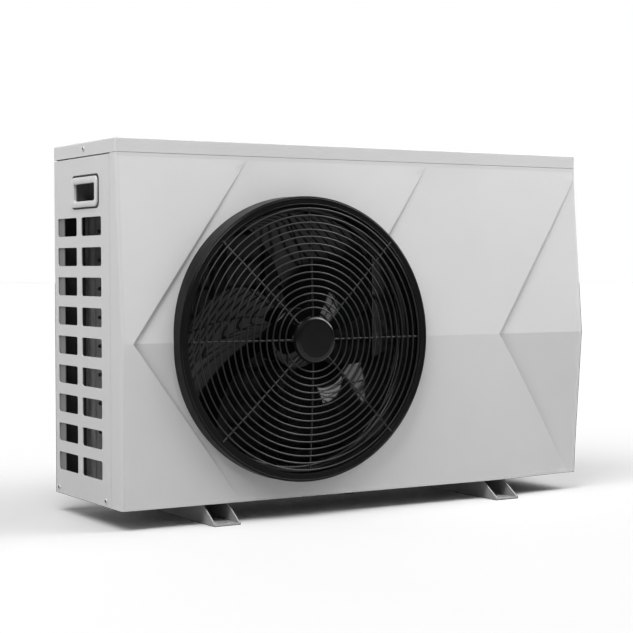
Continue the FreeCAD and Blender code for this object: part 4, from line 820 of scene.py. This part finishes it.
def fan():
    # The hub with its ribs, and the blades.
    points = []
    faces = []
    inner_r = HUB_R - HUB_WALL
    face_back = HUB_FRONT + HUB_FACE
    hub = [(SHAFT_HOLE_R, HUB_FRONT)]
    hub += [(HUB_R - inset, HUB_FRONT + back) for inset, back in HUB_ROUNDING]
    hub += [(HUB_R, HUB_BACK), (inner_r, HUB_BACK), (inner_r, face_back), (BOSS_R, face_back),
            (BOSS_R, BOSS_BACK), (SHAFT_HOLE_R, BOSS_BACK)]
    lathe(points, faces, hub, (FAN_X, 0, FAN_Z), HUB_SIDES)
    for i in range(BLADES):
        blade_solid(points, faces, BLADE_START + 360.0 * i / BLADES)
    middle = Vector((FAN_X, HUB_FRONT + RIB_BACK, FAN_Z))
    for i in range(HUB_RIBS):
        turn = 2 * math.pi * i / HUB_RIBS
        radial = Vector((math.cos(turn), 0, math.sin(turn)))
        rib = [middle + radial * radius for radius in (RIB_IN_R, HUB_R - BLADE_SINK)]
        ring_solid(points, faces, rib, RIB_R, RIB_SIDES, False)
    piece = mesh_piece("fan_rotor_blades", points, faces, "black_gloss", "fan_rotor", 35.0,
                       ("blade_gloss",))
    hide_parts("fan_blades")


# ---- bezel and duct details ---------------------------------------------------------------------
ROUND_SIDES = 160
BEADS = ((3.6, 0.9), (13.0, 0.7))       # how far in from the bezel's rim, and radius
BEAD_SINK = 0.05
BEAD_STEPS = 6
DUCT_R = 222.1
LIP = 5.5                    # radius of the duct's lip
LIP_STEPS = 8
# y where the lip's round front ends, where it starts to slope, a point on the slope, and where it
# meets the duct again.
LIP_FRONT, LIP_LEVEL, LIP_SLOPE, LIP_END = -2.0, 6.0, 12.0, 16.0
LIP_SLOPE_SHARE = 0.6        # of the lip's height left on the slope


def bezel_details():
    # Two slim beads moulded on the bezel's face.
    low, high = near("fan_bezel")
    bezel_r = (high.x - low.x) / 2
    turns = [math.pi * k / BEAD_STEPS for k in range(BEAD_STEPS + 1)]
    points = []
    faces = []
    for inset, bead in BEADS:
        profile = [(bezel_r - inset + bead * math.cos(turn),
                    low.y + BEAD_SINK - bead * math.sin(turn)) for turn in turns]
        lathe(points, faces, profile, (FAN_X, 0, FAN_Z), ROUND_SIDES)
    mesh_piece("bezel_beads", points, faces, "black_gloss", smooth_angle=60.0)


def duct_lip():
    # A rounded lip inside the duct, level with the front of the blades.
    turns = [math.pi / 2 * k / LIP_STEPS for k in range(LIP_STEPS + 1)]
    profile = [(DUCT_R - LIP * math.sin(turn), LIP_FRONT - LIP * math.cos(turn)) for turn in turns]
    profile += [(DUCT_R - LIP, LIP_LEVEL), (DUCT_R - LIP * LIP_SLOPE_SHARE, LIP_SLOPE),
                (DUCT_R, LIP_END)]
    points = []
    faces = []
    lathe(points, faces, profile, (FAN_X, 0, FAN_Z), ROUND_SIDES)
    mesh_piece("duct_lip", points, faces, "black_gloss", smooth_angle=50.0)


# ---- coil ---------------------------------------------------------------------------------------
FIN_PITCH = 2.2
FIN_THICK = 0.16
FIN_WAVES = 8
FIN_WAVE = 0.35              # depth of the corrugation
FIN_START = 0.8              # from the coil's left end to the first fin
FIN_MARGIN = 1.0             # left free along the coil, in all


def coil_fins():
    # Separate plates with a corrugated section, side by side along the coil.
    low, high = near("evaporator_fins")
    points = []
    faces = []
    row = FIN_WAVES + 1
    for i in range(int((high.x - low.x - FIN_MARGIN) / FIN_PITCH)):
        x = low.x + FIN_START + i * FIN_PITCH
        first = len(points)
        for z in (low.z, high.z):
            for side in (0.0, FIN_THICK):
                for k in range(row):
                    wave = FIN_WAVE if k % 2 else 0.0
                    points.append((x + side + wave, low.y + (high.y - low.y) * k / FIN_WAVES, z))
        for k in range(FIN_WAVES):
            a = first + k
            faces.append((a, a + 1, a + 2 * row + 1, a + 2 * row))
            faces.append((a + row + 1, a + row, a + 3 * row, a + 3 * row + 1))
            faces.append((a, a + row, a + row + 1, a + 1))
            faces.append((a + 2 * row, a + 2 * row + 1, a + 3 * row + 1, a + 3 * row))
        for k in (0, FIN_WAVES):
            a = first + k
            faces.append((a, a + 2 * row, a + 3 * row, a + row))
    piece = mesh_piece("coil_fins", points, faces, "fin_stock")
    piece.data.shade_flat()
    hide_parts("evaporator_fins")


# ---- handles ------------------------------------------------------------------------------------
GRIP_R = 9.0                 # corner radius of the frame
FRAME_IN = (2.9, 3.4)        # how far the frame lies inside the black ring's outline
FRAME_SHIFT = (1.6, -0.4)    # its middle from the handle's
MOUTH = (43.5, 14.6)         # half sizes of a handle's mouth
MOUTH_R = 4.0
MOUTH_DROP = 0.9             # how far its middle lies below the handle's
POCKET = (48.5, 19.5)        # half sizes of the pocket behind it
PLUG_IN = 6.3                # how far the cup behind the panel lies inside the outline
PLUG_R = 5.5
SHADE_RING_RISE = 0.35                # how far a handle's black ring, painted groove shadow, stands out
FOOTING = 0.02               # how far off the panel's face the black ring starts


def rounded_outline(half_y, half_z, radius, steps=6):
    # Corners of a rounded rectangle, anticlockwise.
    outline = []
    for corner, (sign_y, sign_z) in enumerate(((1, 1), (-1, 1), (-1, -1), (1, -1))):
        for i in range(steps + 1):
            turn = math.pi / 2 * (corner + i / steps)
            outline.append((sign_y * (half_y - radius) + radius * math.cos(turn),
                            sign_z * (half_z - radius) + radius * math.sin(turn)))
    return outline


def stacked_loops(points, faces, picks, loops, closed=False):
    # Joins loops of the same length in turn: each is a list of points and the material of the
    # band that follows it. The first and last loops are capped, or joined to each other.
    first = len(points)
    count = len(loops[0][0])
    for loop in loops:
        points.extend(loop[0])
    bands = len(loops) if closed else len(loops) - 1
    for i in range(bands):
        j = (i + 1) % len(loops)
        for k in range(count):
            m = (k + 1) % count
            faces.append((first + i * count + k, first + i * count + m,
                          first + j * count + m, first + j * count + k))
            picks.append(loops[i][1])
    if not closed:
        faces.append(tuple(range(first, first + count))[::-1])
        picks.append(loops[0][1])
        faces.append(tuple(range(first + bands * count, first + (bands + 1) * count)))
        picks.append(loops[-1][1])


def handle(side, node):
    # A raised frame round a cup darkened as painted shade, with a black ring round it as painted groove shadow.
    # side is -1 on the left and 1 on the right.
    low, high = near(node)
    mid_y = (low.y + high.y) / 2
    mid_z = (low.z + high.z) / 2
    half_y = (high.y - low.y) / 2
    half_z = (high.z - low.z) / 2
    proud = max(abs(low.x), abs(high.x)) - HALF_W
    depth = HALF_W - min(abs(low.x), abs(high.x))
    shell, cup, shade_ring = 0, 1, 2

    def loop(out, half_sizes, radius, shift=(0.0, 0.0), grow=0.0):
        # A rounded rectangle, out mm outside the panel.
        outline = rounded_outline(half_sizes[0] + grow, half_sizes[1] + grow, radius)
        return [(side * (HALF_W + out), mid_y + shift[0] + y, mid_z + shift[1] + z)
                for y, z in outline]

    whole = (half_y, half_z)
    rim = (half_y - FRAME_IN[0], half_z - FRAME_IN[1])
    plug = (half_y - PLUG_IN, half_z - PLUG_IN)
    drop = (0.0, -MOUTH_DROP)
    points = []
    faces = []
    picks = []
    stacked_loops(points, faces, picks, [
        (loop(-depth, plug, PLUG_R), cup),
        (loop(-2.0, plug, PLUG_R), shell),
        (loop(0.05, rim, GRIP_R, FRAME_SHIFT), shell),
        (loop(proud - 1.3, rim, GRIP_R, FRAME_SHIFT), shell),
        (loop(proud - 0.4, rim, GRIP_R, FRAME_SHIFT, -0.4), shell),
        (loop(proud, rim, GRIP_R - 1.0, FRAME_SHIFT, -1.4), shell),
        (loop(proud, MOUTH, MOUTH_R + 0.5, drop, 1.4), shell),
        (loop(proud - 0.5, MOUTH, MOUTH_R, drop, 0.3), shell),
        (loop(proud - 1.6, MOUTH, MOUTH_R, drop), shell),
        (loop(-2.0, MOUTH, MOUTH_R, drop), cup),
        (loop(-4.0, MOUTH, MOUTH_R, drop), cup),
        (loop(-4.4, POCKET, MOUTH_R), cup),
        (loop(4.0 - depth, POCKET, MOUTH_R), cup),
        (loop(2.0 - depth, POCKET, MOUTH_R - 1.0, grow=-3.0), cup),
    ])
    stacked_loops(points, faces, picks, [
        (loop(FOOTING, whole, GRIP_R + 1.5), shade_ring),
        (loop(SHADE_RING_RISE, whole, GRIP_R + 1.2, grow=-0.3), shade_ring),
        (loop(SHADE_RING_RISE, rim, GRIP_R, FRAME_SHIFT, 0.05), shade_ring),
        (loop(FOOTING, rim, GRIP_R, FRAME_SHIFT, 0.05), shade_ring),
    ], closed=True)
    piece = mesh_piece(node.replace("handle_cup", "handle_shell"), points, faces, "grip_grey",
                       materials=("grip_grey", "cup_painted_shade", "painted_shade_black"), picks=picks)
    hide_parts(node)


# ---- screws -------------------------------------------------------------------------------------
SCREW_WELD = 0.001           # mm: points of a CAD mesh closer than this are one
SIDE_BAND = 8.0              # screws this close to the cabinet's side enter it from there
HEAD_H = 2.0
HEAD_SIDES = 24
SHANK_SHARE = 0.46           # a shank's radius and a socket's, as shares of the head's
SOCKET_SHARE = 0.68
SEAT_GAP = 0.02


def loose_parts(node):
    # The box of each separate solid of a CAD node, in the cabinet's frame, in mm.
    mesh = NODES[node].data
    work = bmesh.new()
    work.from_mesh(mesh)
    bmesh.ops.remove_doubles(work, verts=work.verts, dist=SCREW_WELD * MM)
    left = set(work.verts)
    boxes = []
    while left:
        front = [left.pop()]
        seen = list(front)
        while front:
            vertex = front.pop()
            for edge in vertex.link_edges:
                other = edge.other_vert(vertex)
                if other in left:
                    left.remove(other)
                    seen.append(other)
                    front.append(other)
        places = np.array([(vertex.co - ORIGIN) / MM for vertex in seen])
        boxes.append((Vector(places.min(axis=0)), Vector(places.max(axis=0))))
    work.free()
    # A set has no fixed order, so the boxes are put in one that is the same each run.
    return sorted(boxes, key=lambda box: tuple(box[0]))


def socket_screw(points, faces, picks, seat, axis, head_r, shank):
    # A low round head with a hexagonal socket, and its shank behind the seat.
    across = Vector((0, 0, 1))
    beside = axis.cross(across)
    socket_r = head_r * SOCKET_SHARE
    shank_r = head_r * SHANK_SHARE
    hex_r = socket_r * math.cos(math.pi / 6)
    # The socket's faces take near black: painted shade in the recess.
    head, socket = 0, 1

    def ring(radius, out, hexagon=False):
        made = []
        for k in range(HEAD_SIDES):
            turn = 2 * math.pi * k / HEAD_SIDES
            reach = radius
            if hexagon:
                reach = hex_r / math.cos((turn + math.pi / 6) % (math.pi / 3) - math.pi / 6)
            away = across * math.cos(turn) + beside * math.sin(turn)
            made.append(tuple(seat + axis * out + away * reach))
        return made

    stacked_loops(points, faces, picks, [
        (ring(shank_r, -shank), head), (ring(shank_r, -SEAT_GAP), head),
        (ring(head_r, SEAT_GAP), head), (ring(head_r * 0.98, HEAD_H * 0.35), head),
        (ring(head_r * 0.9, HEAD_H * 0.78), head), (ring(head_r * 0.8, HEAD_H * 0.97), head),
        (ring(socket_r * 1.06, HEAD_H), head), (ring(socket_r, HEAD_H * 0.93, True), socket),
        (ring(socket_r, HEAD_H * 0.2, True), socket), (ring(socket_r * 0.5, HEAD_H * 0.08), socket),
    ])


def socket_screws(node, name, slot):
    # A socket screw in the place of each solid of a CAD node.
    points = []
    faces = []
    picks = []
    for low, high in loose_parts(node):
        middle = (low + high) / 2
        seat = middle.copy()
        if abs(middle.x) > HALF_W - SIDE_BAND:
            axis = Vector((math.copysign(1, middle.x), 0, 0))
            head_r = (high.z - low.z) / 2
            seat.x = math.copysign(max(abs(low.x), abs(high.x)) - HEAD_H, middle.x)
        else:
            axis = Vector((0, 1, 0))
            head_r = (high.x - low.x) / 2
            seat.y = high.y - HEAD_H
        # A panel screw's box is 8 mm each way, within 0.02 mm. The others' largest side is their
        # length.
        length = min((high - low)[:]) if node == "panel_screws" else max((high - low)[:])
        socket_screw(points, faces, picks, seat, axis, head_r, length - HEAD_H)
    piece = mesh_piece(name, points, faces, slot, smooth_angle=35.0,
                       materials=(slot, "painted_shade_black"), picks=picks)
    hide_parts(node)


# ---- stage --------------------------------------------------------------------------------------
SENSOR = 36.0                # mm
LENS = 91.70                 # mm
CAMERA_PLACE = (-1520.44, -2378.47, 390.46)
CAMERA_TURNS = (30.855, -1.756, -0.136)      # yaw to the right, pitch and roll, in degrees


def look_frame(yaw, pitch, roll):
    # The right, up and back directions of a camera.
    level = math.cos(pitch)
    ahead = Vector((math.sin(yaw) * level, math.cos(yaw) * level, math.sin(pitch)))
    right = ahead.cross(Vector((0, 0, 1))).normalized()
    up = right.cross(ahead)
    turned_right = right * math.cos(roll) + up * math.sin(roll)
    turned_up = up * math.cos(roll) - right * math.sin(roll)
    return turned_right, turned_up, -ahead


def camera():
    data = bpy.data.cameras.new("camera")
    data.sensor_width = SENSOR
    data.lens = LENS
    made = bpy.data.objects.new("camera", data)
    bpy.context.scene.collection.objects.link(made)
    place = Matrix.Identity(4)
    for i, axis in enumerate(look_frame(*(math.radians(turn) for turn in CAMERA_TURNS))):
        for j in range(3):
            place[j][i] = axis[j]
    place.translation = at(*CAMERA_PLACE)
    made.matrix_world = place
    bpy.context.scene.camera = made


WHITE = (1.0, 1.0, 1.0, 1.0)
AMBIENT = 0.03               # strength of the world's own light; the camera sees it as white
FLOOR_R = 40.0
FLOOR_SIDES = 96
# The softboxes stand round this point. It, their distance and their sizes are in metres.
MIDDLE = Vector((0.0, 0.0, 0.3))
SOFTBOX_AWAY = 3.5
SOFTBOX_SIZE = 2.4
# Each softbox: azimuth from straight in front (to the right positive), elevation, watts.
SOFTBOXES = (
    ("key_left", -60.0, 55.0, 151.0),
    ("fill_side", -120.0, 10.0, 25.0),
    ("top_right", 50.0, 55.0, 66.0),
    ("low_right", 75.0, 35.0, 97.0),
    ("back_fill", 180.0, 15.0, 45.0),
)
GLINT = ("front_glint", 3.0, 24.0, 8.0)     # a small softbox whose reflection shows in the blades
GLINT_SIZE = 0.9


def softbox(name, azimuth, elevation, power, size=SOFTBOX_SIZE):
    turn = math.radians(azimuth)
    rise = math.radians(elevation)
    level = math.cos(rise)
    towards = Vector((math.sin(turn) * level, -math.cos(turn) * level, math.sin(rise)))
    data = bpy.data.lights.new(name, "AREA")
    data.shape = "SQUARE"
    data.size = size
    data.energy = power
    made = bpy.data.objects.new(name, data)
    bpy.context.scene.collection.objects.link(made)
    made.location = MIDDLE + towards * SOFTBOX_AWAY
    made.rotation_mode = "QUATERNION"
    made.rotation_quaternion = towards.to_track_quat("Z", "Y")
    made.visible_camera = False


def studio():
    # A white surround, a floor that only catches shadows, and the softboxes.
    scene = bpy.context.scene
    scene.view_settings.view_transform = "Standard"
    world = bpy.data.worlds.new("studio")
    scene.world = world
    world.use_nodes = True
    tree = world.node_tree
    background = tree.nodes["Background"]
    background.inputs["Color"].default_value = WHITE
    background.inputs["Strength"].default_value = AMBIENT
    seen = tree.nodes.new("ShaderNodeBackground")
    seen.inputs["Color"].default_value = WHITE
    seen.inputs["Strength"].default_value = 1.0
    path = tree.nodes.new("ShaderNodeLightPath")
    mix = tree.nodes.new("ShaderNodeMixShader")
    tree.links.new(path.outputs["Is Camera Ray"], mix.inputs[0])
    tree.links.new(background.outputs[0], mix.inputs[1])
    tree.links.new(seen.outputs[0], mix.inputs[2])
    tree.links.new(mix.outputs[0], tree.nodes["World Output"].inputs[0])

    bpy.ops.mesh.primitive_circle_add(vertices=FLOOR_SIDES, radius=FLOOR_R, fill_type="NGON",
                                      location=(0, 0, 0))
    floor = bpy.context.active_object
    floor.name = "floor"
    finish = Finish("floor_paint", (0.42, 0.42, 0.42), 0.8, specular=0.1)
    finish.tint((0.4, 0.4, 0.4), finish.spread(finish.noise(0.6), 0.4, 0.7, out_high=0.3))
    floor.data.materials.append(finish.done())
    floor.is_shadow_catcher = True
    for box in SOFTBOXES:
        softbox(*box)
    softbox(*GLINT, GLINT_SIZE)


dress_cad_nodes()
ease_edges()
camera()
front_panel()
wire_guard()
fan()
bezel_details()
duct_lip()
coil_fins()
handle(-1, "handle_cup_left")
handle(1, "handle_cup_right")
socket_screws("lid_screws", "lid_screw_heads", "cabinet_paint")
socket_screws("panel_screws", "panel_screw_heads", "cabinet_paint")
socket_screws("wiring_cover_screws", "cover_screw_heads", "zinc_steel")
studio()
